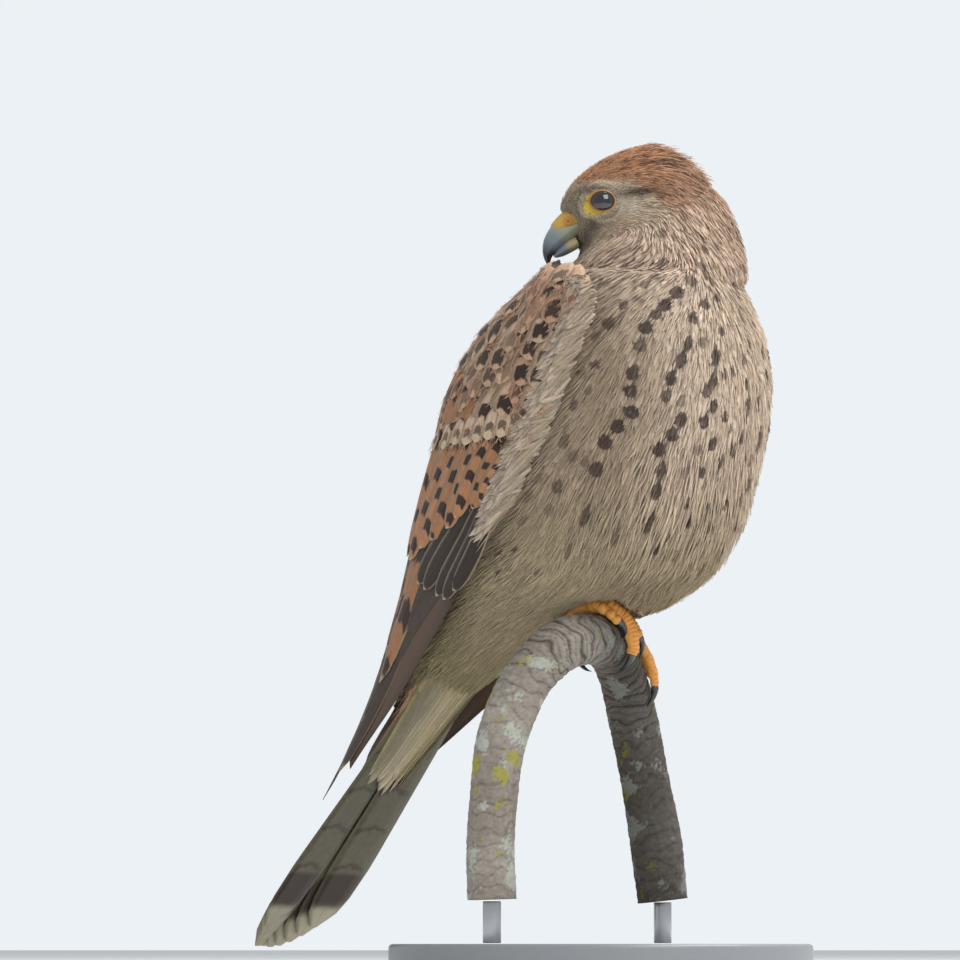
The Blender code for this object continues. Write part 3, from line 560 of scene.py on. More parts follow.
def scatter(count, spacing, wanted):
    """Roots spread evenly over the skin, at least the local spacing apart: place, normal and bake place."""
    place, normal, bake = random_places(SKIN_AREA, count)
    ok = wanted(place, normal)
    place, normal, bake = place[ok], normal[ok], bake[ok]
    gap = spacing(place)
    cell = float(gap.max())
    grid, kept = {}, []
    for i, point in enumerate(place):
        key = tuple((point // cell).astype(int))
        near = (grid.get((key[0] + x, key[1] + y, key[2] + z), ())
                for x in (-1, 0, 1) for y in (-1, 0, 1) for z in (-1, 0, 1))
        limit = gap[i] ** 2
        if all(((place[j] - point) ** 2).sum() > limit for group in near for j in group):
            grid.setdefault(key, []).append(i)
            kept.append(i)
    return place[kept], normal[kept], bake[kept]


# Head plane: how far a place lies on the head's side of the line from nape to chin
NAPE_PLACE, NAPE_NORMAL = np.array((38.5, -5, 284.5)), unit((-0.45, 0.0, 0.89))


def headness(points):
    return ramp(dot(points - NAPE_PLACE, NAPE_NORMAL)[..., 0], -9, 3)


WING_EDGE = {side: np.array([wing_point(side, 0.9 * i / 30, 0.03) for i in range(31)]) for side in (-1, 1)}


def edge_nearness(points):
    """How near each place is to the front edge of the folded wing on its side, and the way to that edge."""
    points = np.asarray(points)
    side = np.where(to_body(points)[..., 1] > 0, 1, -1)
    way = np.zeros(points.shape)
    share = np.zeros(points.shape[:-1])
    for one in (-1, 1):
        pick = side == one
        gap = WING_EDGE[one][None] - points[pick][:, None]
        far = np.linalg.norm(gap, axis=-1)
        best = far.argmin(axis=1)
        rows = np.arange(len(best))
        way[pick] = unit(gap[rows, best])
        share[pick] = np.exp(-(far[rows, best] / 15) ** 2)
    return share[..., None], way


def flow(points, normals):
    """The way that the coat lies at each place: back from the bill, down the neck, and down the body to the tail."""
    x, y, z = np.moveaxis(points, -1, 0)
    xb, yb, _ = np.moveaxis(to_body(points), -1, 0)
    out = np.clip(yb / 40, -1.2, 1.2)
    low = ramp(z, 178, 140) * ramp(-xb, -25, 20)
    down = body(-0.10 - 0.25 * np.abs(out) - 0.9 * low, 0.3 * out * (1 - low), -1.0 + 0.25 * low)
    near_edge, way = edge_nearness(points)
    down = unit(down) + way * near_edge * 0.75 * ramp(z, 130, 175)[..., None]
    shoulder = ramp(z, 218, 250)[..., None] * ramp(-yb, 2, 30)[..., None]
    down = mix(down, np.broadcast_to(np.array((-0.85, -0.1, -0.62)), points.shape), shoulder * 0.75)
    t = ramp(x, 10, 46)[..., None]
    back_head = mix(np.array((1, 0.10, -0.02)), np.array((0.42, 0.0, -1)), t)
    face = np.exp(-((x + 2) / 9) ** 2)[..., None] * ramp(z, 268, 258)[..., None]
    back_head = mix(back_head, np.array((0.75, 0.0, -0.85)), face)
    neck = ramp(z, 246, 266)[..., None]
    low_neck = mix(down, np.array((0.34, -0.1, -1.0)), neck * ramp(x, 0, 30)[..., None])
    away = mix(low_neck, back_head, headness(points)[..., None])
    return unit(away - normals * dot(away, normals))


def trace(place, normal, length, stations, tree, wind):
    """Each feather's midline over the surface, from its root, with the surface's normals."""
    count = len(place)
    path = np.empty((count, stations, 3))
    out = np.empty((count, stations, 3))
    path[:, 0], out[:, 0] = place, normal
    step = (length / (stations - 1))[:, None]
    here, up = place.copy(), normal.copy()
    for k in range(1, stations):
        ahead = unit(flow(here, up) + wind)
        ahead = unit(ahead - up * dot(ahead, up))
        there = here + ahead * step
        for i in range(count):
            found, face_normal, _, _ = tree.find_nearest(there[i].tolist())
            here[i] = found
            turn = np.array(face_normal)
            if (turn * up[i]).sum() < -0.2:
                turn = up[i]
            up[i] = up[i] * 0.45 + turn * 0.55
        up = unit(up)
        path[:, k], out[:, k] = here, up
    return path, out


def wing_cover(place, normal):
    """True where a folded wing lies over the place."""
    covered = np.zeros(len(place), bool)
    side = np.where(to_body(place)[:, 1] > 0, 1, -1)
    for i in range(len(place)):
        hit = wing_trees[side[i]].ray_cast((place[i] - normal[i] * 2).tolist(), normal[i].tolist(), 16.0)
        covered[i] = hit[0] is not None
    return covered


# Colours of the plumage
CROWN = linear("#C4926E")
CROWN_DARK = linear("#5E4333")
NAPE = linear("#BE9A80")
CHEEK = linear("#CDB9A0")
WHITE_PATCH = linear("#DCD0BF")
MOUSTACHE = linear("#6F6458")
LORE = linear("#8F8570")
THROAT = linear("#D8CCB4")
BREAST = linear("#D5BFA8")
# FLANK, BELLY and VENT are darker than BREAST: partly the buff of those parts, partly painted shade on the sides and
# underside of the body
FLANK = linear("#A8937A")
BELLY = linear("#B3A281")
VENT = linear("#A4986F")
MANTLE = linear("#C79878")
SPOT_DARK = linear("#4A3830")
EYE_LINE = linear("#3D322A")
BROW_PALE = linear("#D2C2AA")
RUMP, BACK_SLOPE = linear("#A48C76"), 1.48
EDGE_DOWN = linear("#B9A690")


def near(values, middle, reach):
    return np.exp(-((values - middle) / reach) ** 2)


# Marks of the face: colour, place and reach forward of the eye, place and reach above it, slope, strength
FACE_MARKS = (
    (LORE, 12, 5.0, -1, 6, 0, 0.8), (WHITE_PATCH, -8.5, 4.0, -1.6, 3.0, 0, 0.6),
    (BROW_PALE, -2, 5.5, 6.9, 1.2, 0, 0.65), (EYE_LINE, 6.3, 2.4, 3.9, 1.8, 0, 0.6),
    (EYE_LINE, 1.5, 5.0, 4.9, 1.0, 0, 0.75), (EYE_LINE, -11, 7.0, 3.6, 1.7, 0.12, 0.95),
)


def skin_tint(points):
    """Base colour of the coat at each place, the same for the skin and for the feathers rooted there."""
    xb, yb, zb = np.moveaxis(to_body(points), -1, 0)
    p, q, r = np.moveaxis(to_skull(points), -1, 0)
    z = points[..., 2]
    # darker on the flanks, belly and vent: partly their own buff, partly painted shade of the body's sides and
    # underside
    belly = ramp(z, 190, 140)[..., None]
    side = ramp(np.abs(yb), 20, 42)[..., None]
    tint = mix(BREAST, FLANK, side)
    tint = mix(tint, BELLY, belly)
    tint = mix(tint, VENT, ramp(xb, -20, -60)[..., None] * ramp(z, 165, 140)[..., None])
    back = ramp(xb + (z - 200) * 0.45, -4, -22)[..., None] * ramp(z, 165, 185)[..., None]
    tint = mix(tint, MANTLE, back)
    over_back = zb - 136 - BACK_SLOPE * (xb + 47)
    tint = mix(tint, RUMP, ramp(over_back, 2, 12)[..., None] * ramp(z, 185, 165)[..., None])
    neck = ramp(z, 240, 262)[..., None]
    tint = mix(tint, mix(NAPE, BREAST, ramp(points[..., 1], 0, -30)[..., None] * 0.55), neck * 0.8)
    head = headness(points)[..., None]
    face = mix(CHEEK, NAPE, ramp(p, -14, -30)[..., None])
    face = mix(face, THROAT, ramp(r, -13, -20)[..., None] * ramp(p, -10, 4)[..., None])
    crown = mix(CROWN, NAPE, ramp(p, -12, -30)[..., None] * 0.8)
    edge = mix(7.2, -0.5, ramp(-p, 6, 22))
    top = ramp(r - edge, -1.8, 2.2)[..., None]
    face = mix(face, crown, top)
    for colour, along, reach, height, depth, slope, strength in FACE_MARKS:
        mark = near(p, along, reach) * near(r + slope * (p + 10), height, depth)
        face = mix(face, colour, mark[..., None] * strength)
    moustache = near(p + 0.3 * (r + 9), 4.6, 2.7) * ramp(r, -5, -7) * ramp(r, -21, -16)
    face = mix(face, MOUSTACHE, moustache[..., None] * 0.85)
    return mix(tint, face, head)


# Dark marks of the breast and flanks as the picture shows them: place, width and length in its pixels, strength.
# The far side carries the same ones, mirrored.
MARKS = (
    (691, 281, 10, 18, 0.7), (677, 293, 11, 18, 0.9), (665, 305, 11, 18, 0.95), (656, 315, 11, 14, 0.8),
    (646, 328, 13, 16, 0.9), (640, 346, 14, 15, 0.7), (633, 372, 12, 19, 0.85), (631, 391, 14, 15, 0.95),
    (632, 412, 15, 15, 0.95), (618, 426, 14, 16, 0.95), (605, 442, 15, 17, 0.95), (597, 469, 14, 18, 0.85),
    (716, 299, 7, 11, 0.8), (705, 305, 9, 14, 0.8), (693, 318, 10, 16, 0.8), (688, 343, 8, 20, 0.85),
    (681, 360, 10, 20, 0.9), (671, 378, 11, 18, 0.9), (666, 396, 10, 15, 0.8), (681, 401, 9, 14, 0.5),
    (681, 419, 11, 18, 0.9), (672, 434, 13, 16, 0.9), (659, 449, 13, 17, 0.9), (661, 469, 10, 18, 0.85),
    (656, 490, 11, 20, 0.85), (649, 521, 6.5, 28, 0.85), (586, 515, 8, 28, 0.75), (569, 550, 5, 25, 0.6),
    (615, 536, 4, 22, 0.5), (720, 331, 6, 14, 0.8), (702, 343, 9, 14, 0.6), (715, 356, 8, 26, 0.85),
    (713, 380, 8, 20, 0.85), (706, 391, 9, 16, 0.8), (713, 406, 8, 16, 0.85), (704, 421, 9, 18, 0.9),
    (724, 417, 7, 13, 0.85), (730, 428, 5, 12, 0.7), (712, 443, 8, 17, 0.9), (720, 460, 6, 17, 0.8),
    (698, 450, 10, 11, 0.45), (701, 472, 8, 15, 0.85), (714, 475, 5, 8, 0.7), (686, 469, 5, 24, 0.6),
    (686, 502, 6, 12, 0.85), (704, 506, 5, 12, 0.9), (722, 504, 6, 15, 0.85), (745, 484, 6, 17, 0.85),
    (748, 460, 6, 15, 0.7), (732, 450, 5, 20, 0.8), (741, 436, 4, 19, 0.75), (759, 436, 5, 24, 0.85),
    (756, 449, 5, 14, 0.7), (746, 413, 3.5, 24, 0.8), (757, 404, 3.5, 20, 0.85), (768, 402, 3.5, 20, 0.85),
    (767, 423, 3.2, 16, 0.8), (771, 445, 3.2, 16, 0.8), (767, 463, 3.2, 15, 0.8), (763, 478, 3.2, 14, 0.8),
    (754, 499, 3.6, 20, 0.85), (737, 500, 4.2, 17, 0.7), (733, 526, 4, 17, 0.85), (709, 525, 4, 19, 0.7),
    (717, 550, 3.4, 24, 0.8), (694, 543, 3.5, 15, 0.7), (687, 522, 3.5, 8, 0.9), (693, 523, 3.5, 10, 0.8),
    (669, 536, 6, 10, 0.9), (655, 548, 5.5, 10, 0.8), (642, 550, 4.5, 9, 0.6), (674, 552, 3.5, 8, 0.7),
    (661, 558, 4, 10, 0.6), (688, 550, 3, 9, 0.6), (687, 565, 3, 9, 0.6), (664, 569, 3.5, 8, 0.5),
    (698, 567, 3.2, 22, 0.7), (500, 552, 4, 15, 0.8), (516, 548, 4.2, 12, 0.85), (499, 572, 3.8, 12, 0.85),
    (538, 571, 3.2, 14, 0.6), (609, 324, 11, 15, 0.8), (596, 337, 9, 13, 0.55), (624, 306, 9, 12, 0.75),
    (621, 317, 7, 9, 0.35), (646, 284, 7, 16, 0.7), (637, 299, 8, 10, 0.4), (663, 264, 6, 22, 0.7),
    (624, 267, 5, 12, 0.7), (701, 266, 7, 14, 0.6), (595, 365, 10, 10, 0.75), (609, 350, 6, 10, 0.35),
    (581, 372, 6, 12, 0.5), (574, 405, 9, 13, 0.7), (589, 390, 8, 13, 0.45), (564, 280, 7, 13, 0.8),
    (585, 461, 9, 12, 0.5), (574, 456, 10, 14, 0.5), (565, 441, 10, 18, 0.55), (558, 486, 11, 16, 0.7),
    (539, 478, 8, 15, 0.45), (550, 510, 10, 16, 0.4), (530, 496, 6, 20, 0.4), (524, 520, 6, 20, 0.4),
    (736, 292, 4, 24, 0.8), (741, 318, 4, 22, 0.7), (724, 374, 5, 14, 0.7), (732, 372, 4, 13, 0.7),
    (744, 360, 5, 13, 0.6), (748, 346, 4, 20, 0.9), (746, 384, 4, 14, 0.85), (747, 402, 3.4, 16, 0.8),
    (761, 352, 3.6, 18, 0.85), (765, 378, 3.6, 20, 0.85), (757, 400, 3.4, 16, 0.8), (765, 325, 3.4, 16, 0.85),
    (766, 340, 3.4, 16, 0.85), (773, 416, 3, 14, 0.8), (759, 378, 3.4, 12, 0.6), (752, 325, 3.4, 14, 0.7),
    (655, 276, 6, 12, 0.5), (605, 283, 5, 12, 0.5), (592, 297, 5, 10, 0.4), (711, 283, 6, 12, 0.6),
)
PIXEL_MM = PIXEL * 0.98
MARK_LONG, MARK_WIDE = 0.47, 0.62

# Eye opening (half width, half height), the bare skin round it and how far the lids reach under the feathers
EYE_WIDE, EYE_TALL = 4.2, 3.45
LID_COVER = 3.0


def opening(angle):
    """Distance from the middle of the eye to the rim of its opening."""
    return 1 / np.sqrt((np.cos(angle) / EYE_WIDE) ** 2 + (np.sin(angle) / EYE_TALL) ** 2)


def bare_reach(angle):
    """How wide the bare skin is round the eye: broad towards the bill and below, a thin ring elsewhere."""
    away = np.angle(np.exp(1j * (np.asarray(angle) + 0.42)))
    return 0.55 + 3.5 * np.exp(-(away / 0.72) ** 2)


def clear_of_eyes(points, share=0.8, cover=0.0):
    """True outside the bare skin round either eye."""
    p, q, r = np.moveaxis(to_skull(points), -1, 0)
    angle = np.arctan2(r, p)
    limit = opening(angle) + np.maximum(bare_reach(angle) * share, cover)
    return (np.hypot(p, r) > limit) | (np.abs(q) < 6) | (headness(points) < 0.5)


def marks_on_skin():
    """Middle, direction along and across, outward direction, half length, half width and strength of each mark."""
    rows = []
    for px, py, wide, long, strength in MARKS:
        start, ray = photo_ray(px, py)
        hit, normal, _, _ = skin_tree.ray_cast(start.tolist(), ray.tolist())
        if hit is None:
            continue
        hit, normal = np.array(hit), np.array(normal)
        slant = max(abs((normal * ray).sum()), 0.3)
        size = (long * MARK_LONG * PIXEL_MM, wide * MARK_WIDE * PIXEL_MM / slant ** 0.5, strength)
        rows.append((hit, normal, *size))
        mirrored = to_body(hit) * (1, -1, 1)
        found, away, _, _ = skin_tree.find_nearest(body(*mirrored).tolist())
        if (np.array(away) * CAMERA_LOOK).sum() > FACING_LIMIT:
            rows.append((np.array(found), np.array(away), *size))
    centre, normal = (np.array([row[i] for row in rows]) for i in (0, 1))
    along = flow(centre, normal)
    return (centre, along, np.cross(normal, along), normal, *(np.array([row[i] for row in rows]) for i in (2, 3, 4)))


MARK_TABLE = marks_on_skin()


def mark_share(points):
    """How far inside the nearest dark mark each place lies (half at its rim), and that mark's strength."""
    centre, along, across, normal, half_long, half_wide, strength = MARK_TABLE
    flat = np.asarray(points).reshape(-1, 3)
    share, force = np.zeros(len(flat)), np.zeros(len(flat))
    for start in range(0, len(flat), 20000):
        away = flat[start:start + 20000, None] - centre[None]
        u = (away * along).sum(axis=-1) / half_long
        v = (away * across).sum(axis=-1)
        h = (away * normal).sum(axis=-1)
        taper = np.clip(1 + 0.5 * np.minimum(u, 0), 0.3, 1)
        field = np.sqrt(u ** 2 + (v / (half_wide * taper)) ** 2) + np.abs(h) * 0.03
        best = field.argmin(axis=1)
        rows = np.arange(len(best))
        share[start:start + 20000] = np.clip(1.5 - field[rows, best], 0, 1)
        force[start:start + 20000] = strength[best]
    shape = np.asarray(points).shape[:-1]
    return share.reshape(shape), force.reshape(shape)


def regions(points):
    """Shares of each place's part of the bird: head, crown, face, neck, belly."""
    p, q, r = np.moveaxis(to_skull(points), -1, 0)
    z = points[..., 2]
    head = headness(points)
    crown = head * ramp(r + 0.16 * p, 4, 9)
    face = head * ramp(p, -16, -4)
    neck = (1 - head) * ramp(z, 238, 254)
    belly = ramp(z, 190, 150)
    return head, crown, face, neck, belly


def length_at(points):
    head, crown, face, neck, belly = regions(points)
    length = mix(mix(11.0, 14.0, belly), 10.0, neck)
    on_head = mix(mix(6.5, 2.6, face), 5.6, crown * (1 - face))
    return mix(length, on_head, head)


def with_marks(data, points_at):
    """Adds the dark marks' share and colour, from where each point of each feather lies."""
    share, force = mark_share(points_at)
    tint = data["tint"]
    streak, rim = (data["drop"][..., i] * np.ones_like(share) for i in (0, 1))
    data["marks"] = np.stack((share, streak, rim), axis=-1)
    data["dark"] = mix(tint, SPOT_DARK, np.clip(force, 0, 1)[..., None])
    return data


# Roots tried for the contour feathers, and loose barbs over them
COAT_TRIES = 90000
STRANDS, STRANDS_QUICK = 34000, 9000


def make_coat():
    """Contour feathers over the whole skin, small on the face and long on the belly."""
    def spacing(points):
        return length_at(points) * 0.15 + 0.35

    def wanted(points, normals):
        return clear_of_eyes(points, 1.0, 2.2)

    place, normal, bake = scatter(COAT_TRIES, spacing, wanted)
    covered = wing_cover(place, normal)
    place, normal, bake = place[~covered], normal[~covered], bake[~covered]
    count = len(place)
    head, crown, face, neck, belly = regions(place)
    length = length_at(place) * rng.uniform(0.85, 1.15, count)
    stations = 6
    path, out = trace(place, normal, length, stations, drape_tree, rng.normal(0, 0.07, (count, 3)))
    share = np.linspace(0, 1, stations)
    tall = mix(0.55, 0.35, np.maximum(head, belly))[:, None]
    rise = -0.5 + (tall * rng.uniform(0.6, 1.3, (count, 1)) + 0.5) * share ** 0.9
    path = path + out * rise[..., None]
    broad = mix(mix(0.17, 0.14, neck), 0.12, head) * length
    profile = np.interp(share, (0, 0.2, 0.5, 0.75, 0.92, 1.0), (0.35, 0.8, 1.0, 0.92, 0.55, 0.08))
    half = broad[:, None] * profile * rng.uniform(0.86, 1.14, (count, stations))
    thick = np.clip(length * 0.015, 0.05, 0.16)[:, None] * np.ones(stations)
    tint = skin_tint(place) * rng.uniform(0.88, 1.12, (count, 1))
    near_edge = edge_nearness(place)[0] * ramp(place[:, 2], 150, 185)[:, None]
    tint = mix(tint, EDGE_DOWN, near_edge * 0.55)
    tint = np.repeat(tint[:, None], stations, axis=1)
    streaky = np.maximum(crown, np.maximum(neck, head * 0.8)) * (rng.random(count) < 0.7) * rng.uniform(0.4, 1.0, count)
    rim = rng.uniform(0.1, 0.5, count) * mix(1.0, 0.35, np.maximum(head, neck))
    drop = np.stack((streaky * (1 - 0.7 * face), rim), axis=-1)[:, None]
    return with_marks(dict(path=path, out=out, half=half, thick=thick, tint=tint, drop=drop, bake=bake), path)


def make_strands(count):
    """Fine loose barbs over the contour feathers, that make the coat soft."""
    middle = sum(SKIN_CORNERS) / 3
    head, crown, face, neck, belly = regions(middle)
    want = SKIN_AREA * (1 + 1.6 * head + 2.4 * face + 0.15 * belly) * (1 - 0.45 * neck)
    place, normal, bake = random_places(want, int(count * 1.25))
    keep = ~wing_cover(place, normal) & clear_of_eyes(place, 1.0, 1.6)
    place, normal, bake = place[keep], normal[keep], bake[keep]
    count = len(place)
    head, crown, face, neck, belly = regions(place)
    p, q, r = np.moveaxis(to_skull(place), -1, 0)
    xb, yb, zb = np.moveaxis(to_body(place), -1, 0)
    length = mix(mix(9.0, 13.0, belly), 7.5, neck)
    length = mix(length, mix(mix(5.0, 2.4, face), 5.6, crown * ramp(p, 4, -12)), head) * rng.uniform(0.75, 1.2, count)
    front_low = ramp(xb, 20, 45) * ramp(zb, 205, 170) * ramp(zb, 128, 150)
    near_edge = edge_nearness(place)[0][:, 0] * ramp(place[:, 2], 150, 185)
    tuft = crown * ramp(p, -10, -24)
    length = length * (1 + 0.45 * front_low + 0.55 * near_edge + 0.4 * tuft)
    stations = 5
    path, out = trace(place, normal, length, stations, drape_tree, rng.normal(0, 0.10, (count, 3)))
    share = np.linspace(0, 1, stations)
    tall = mix(mix(0.95, 1.15, belly), 0.55, head) + tuft * rng.uniform(0.2, 2.6, count) + 1.5 * front_low
    tall = tall + 0.5 * near_edge
    rise = -0.3 + (tall * rng.uniform(0.45, 1.35, count) + 0.3)[:, None] * share ** 1.1
    path = path + out * rise[..., None]
    wide = mix(mix(0.42, 0.36, belly), mix(0.30, 0.17, face), head) * rng.uniform(0.7, 1.25, count)
    half = wide[:, None] * np.array((0.7, 1.0, 0.9, 0.6, 0.06))
    thick = np.clip(wide * 0.5, 0.05, 0.2)[:, None] * np.ones(stations)
    tint = skin_tint(place) * rng.uniform(0.80, 1.20, (count, 1))
    # dark shaft lines of the crown, nape and neck, about two millimetres apart
    line = noise_at(place, 0.55, 21.0)
    streaky = np.maximum(crown, np.maximum(neck, head * mix(0.35, 1.0, ramp(p, -6, -22))))
    streak = streaky * ramp(line, 0.08, 0.22) * rng.uniform(0.5, 1.0, count)
    tint = mix(tint, CROWN_DARK, streak[:, None])
    tint = mix(tint, EDGE_DOWN, near_edge[:, None] * 0.7)
    # each strand darker towards its root, painted shade under the neighbouring strands, and lighter towards its tip
    lift = np.array((0.72, 0.88, 1.0, 1.06, 1.12))
    tint = tint[:, None] * lift[:, None]
    drop = np.zeros((count, 1, 2))
    return with_marks(dict(path=path, out=out, half=half, thick=thick, tint=tint, drop=drop, bake=bake), path)


PLUMAGE = plumage_material("contour_feather_keratin", 95.0, 0.72)
TUFT_PATCH = 0.003


def build_feathers(name, data, section, camber, finish, slices=5200):
    """Objects of at most a slice of feathers each, every feather with its own small patch of the bake."""
    total = len(data["path"])
    made = []
    parts = max(1, math.ceil(total / slices))
    for n in range(parts):
        pick = slice(n * total // parts, (n + 1) * total // parts)
        path = data["path"][pick]
        points, quads, uv = vanes(path, data["out"][pick], data["half"][pick], data["thick"][pick], camber, section)
        repeat = path.shape[1] * len(section)
        bake = np.repeat(data["bake"][pick], repeat, axis=0) + (uv - 0.5) * TUFT_PATCH
        colours = {}
        for key in ("tint", "marks", "dark", "bars"):
            if key in data:
                value = data[key][pick]
                colours[key] = np.repeat(value if value.ndim == 2 else value.reshape(-1, 3),
                                         repeat if value.ndim == 2 else len(section), axis=0)
        thing = quad_mesh(f"{name}_{n + 1}", points, quads, uv, bake, colours)
        thing.data.materials.append(finish)
        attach(thing, "root")
        made.append(thing)
    return made


build_feathers("coat", make_coat(), THIN, 0.22, PLUMAGE)
build_feathers("barbs", make_strands(STRANDS), HAIR, 0.0, PLUMAGE, slices=7000)


def finish_skin():
    """Skin under the feathers: matt and close to their colour, darkened as painted shade of the gaps between them, so
    that no gap between them shows.
    """
    made, tree, shader = material("feathered_skin", Roughness=0.85, Specular_IOR_Level=0.2)
    tints = np.ones((len(skin_points), 4), np.float32)
    share, force = mark_share(skin_points)
    # coat tint darkened to 0.7: painted shade in the gaps between feathers, with the dark marks over it
    tints[:, :3] = mix(skin_tint(skin_points) * 0.7, SPOT_DARK, (ramp(share, 0.3, 0.7) * force)[:, None])
    skin.data.color_attributes.new("tint", "FLOAT_COLOR", "POINT").data.foreach_set("color", tints.ravel())
    place = add(tree, "TexCoord").outputs["Object"]
    grit = add(tree, "TexNoise", {"Vector": place, "Scale": 700.0, "Detail": 4.0})
    tint = add(tree, "Attribute", attribute_name="tint")
    toned = add(tree, "Mix", (0.4, tint, grit), data_type="RGBA", blend_type="OVERLAY")
    tree.links.new(toned.outputs[2], shader.inputs["Base Color"])
    skin.data.materials.append(made)
    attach(skin, "root")
    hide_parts(*SKIN_NODES)


finish_skin()

# Flight feathers and wing coverts

WING_STEPS = (121, 41)


def picture_place(points):
    """Where places in the world fall in the picture, in pixels."""
    away = np.asarray(points) - CAMERA_PLACE
    deep = away @ CAMERA_LOOK
    return np.stack((PHOTO_MIDDLE + away[..., 0] / deep * CAMERA_REACH / PIXEL,
                     PHOTO_MIDDLE - (away @ CAMERA_UP) / deep * CAMERA_REACH / PIXEL), axis=-1)


def wing_grid(side):
    alongs, acrosses = (np.linspace(0, 1, n) for n in WING_STEPS)
    points = np.array([[wing_point(side, a, c) for c in acrosses] for a in alongs])
    normals = unit(np.cross(np.gradient(points, axis=0), np.gradient(points, axis=1)))
    middle = normals[WING_STEPS[0] // 2, WING_STEPS[1] // 2]
    return points, normals if (middle * body(-0.4, side, 0.1)).sum() > 0 else -normals


WING_GRIDS = {side: wing_grid(side) for side in (-1, 1)}
WING_PICTURE = picture_place(WING_GRIDS[-1][0])
WING_HIDDEN = (WING_GRIDS[-1][1] @ CAMERA_LOOK > FACING_LIMIT) * 1e6


def seen_on_wing(px, py):
    """The place (along, across) on the shown wing that lies at a place of the picture."""
    far = ((WING_PICTURE - np.array((px, py))) ** 2).sum(axis=-1) + WING_HIDDEN
    i, j = np.unravel_index(far.argmin(), far.shape)
    return i / (WING_STEPS[0] - 1), j / (WING_STEPS[1] - 1)


def on_wing(side, along, across):
    """Place and outward direction on the folded wing, between the points of its grid."""
    points, normals = WING_GRIDS[side]
    a = np.clip(np.asarray(along, float), 0, 1) * (WING_STEPS[0] - 1)
    c = np.clip(np.asarray(across, float), 0, 1) * (WING_STEPS[1] - 1)
    i = np.minimum(a.astype(int), WING_STEPS[0] - 2)
    j = np.minimum(c.astype(int), WING_STEPS[1] - 2)
    ti, tj = (a - i)[..., None], (c - j)[..., None]
    place, normal = (mix(mix(g[i, j], g[i + 1, j], ti), mix(g[i, j + 1], g[i + 1, j + 1], ti), tj)
                     for g in (points, normals))
    return place, unit(normal)


def core_half(along):
    return 2.1 * (1 - 0.6 * ramp(along, 0.1, 0.85))


def wing_core(side, name):
    """The closed sheet that a wing's feathers lie on."""
    rows, columns = 44, 16
    along, across = np.meshgrid(np.linspace(0, 0.93, rows), np.linspace(0, 1, columns), indexing="ij")
    place, normal = on_wing(side, along, across)
    round_edge = (np.sqrt(np.clip(1 - (2 * across - 1) ** 8, 0, 1))
                  * np.sqrt(np.clip(1 - (2 * along / 0.93 - 1) ** 20, 0, 1)))
    half = (core_half(along) * (0.15 + 0.85 * round_edge))[..., None]
    points = np.concatenate((place + normal * half, place - normal * half)).reshape(-1, 3)
    top = grid_faces(rows, columns)[:, (0, 3, 2, 1)]
    rim = ([k * columns for k in range(rows)] + [(rows - 1) * columns + k for k in range(1, columns)]
           + [(rows - 1 - k) * columns + columns - 1 for k in range(1, rows)]
           + [columns - 1 - k for k in range(1, columns - 1)])
    under = rows * columns
    edge = [(rim[k], rim[k - 1], rim[k - 1] + under, rim[k] + under) for k in range(len(rim))]
    quads = np.concatenate((top, top[:, ::-1] + under, np.array(edge)[:, ::-1]))
    if side > 0:
        quads = quads[:, ::-1]
    uv = np.concatenate((np.stack((across, along), axis=-1),) * 2).reshape(-1, 2)
    thing = quad_mesh(name, points, quads, uv, uv * (0.3, 0.45) + (0.02 if side > 0 else 0.35, 0.02))
    # dark matt sheet, seen only in gaps between the feathers: painted shade there
    finish, _, _ = material(f"{name}_painted_gap_shade", Base_Color=rgba("#5E4C40"), Roughness=0.85)
    thing.data.materials.append(finish)
    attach(thing, "root")
    return thing


LONG_SHAPE = ((0, 0.10, 0.40, 0.70, 0.85, 0.94, 0.985, 1.0), (0.5, 0.75, 1.0, 0.98, 0.86, 0.62, 0.32, 0.06))
ROUND_SHAPE = ((0, 0.2, 0.5, 0.78, 0.92, 0.985, 1.0), (0.55, 0.85, 1.0, 0.96, 0.70, 0.34, 0.08))


class Feathers:
    """Feathers of one kind, gathered before they become meshes."""

    def __init__(self, stations):
        self.stations = stations
        self.rows = {key: [] for key in ("path", "out", "half", "thick", "tint", "dark", "marks", "bars", "bake")}

    def put(self, path, out, half, thick, tint, dark, marks, bars, shape):
        share = np.linspace(0, 1, self.stations)
        profile = np.interp(share, *shape)
        number = len(self.rows["path"])
        for key, value in (("path", path), ("out", out), ("half", half * profile),
                           ("thick", thick * (1 - 0.5 * share)), ("tint", tint), ("dark", dark), ("marks", marks),
                           ("bars", bars), ("bake", (0.01 + 0.004 * (number % 240), 0.01 + 0.004 * (number // 240)))):
            self.rows[key].append(value)

    def arrays(self):
        return {key: np.array(value, float) for key, value in self.rows.items()}


def wing_feather(kind, side, stops, half, lifts, tint, dark, marks, bars, shape=LONG_SHAPE, thick=0.45, lean=0.0):
    """One feather on the folded wing through its stops (along, across), with heights over the core at each end."""
    line = spread(stops, kind.stations)
    share = np.linspace(0, 1, kind.stations)
    place, normal = on_wing(side, line[:, 0], line[:, 1])
    lift = core_half(line[:, 0]) + mix(lifts[0], lifts[1], share ** 0.8)
    ahead = unit(np.gradient(place, axis=0))
    sideways = unit(np.cross(ahead, normal)) * side
    kind.put(place + normal * lift[:, None], unit(normal + sideways * lean), half, thick, tint, dark, marks, bars,
             shape)


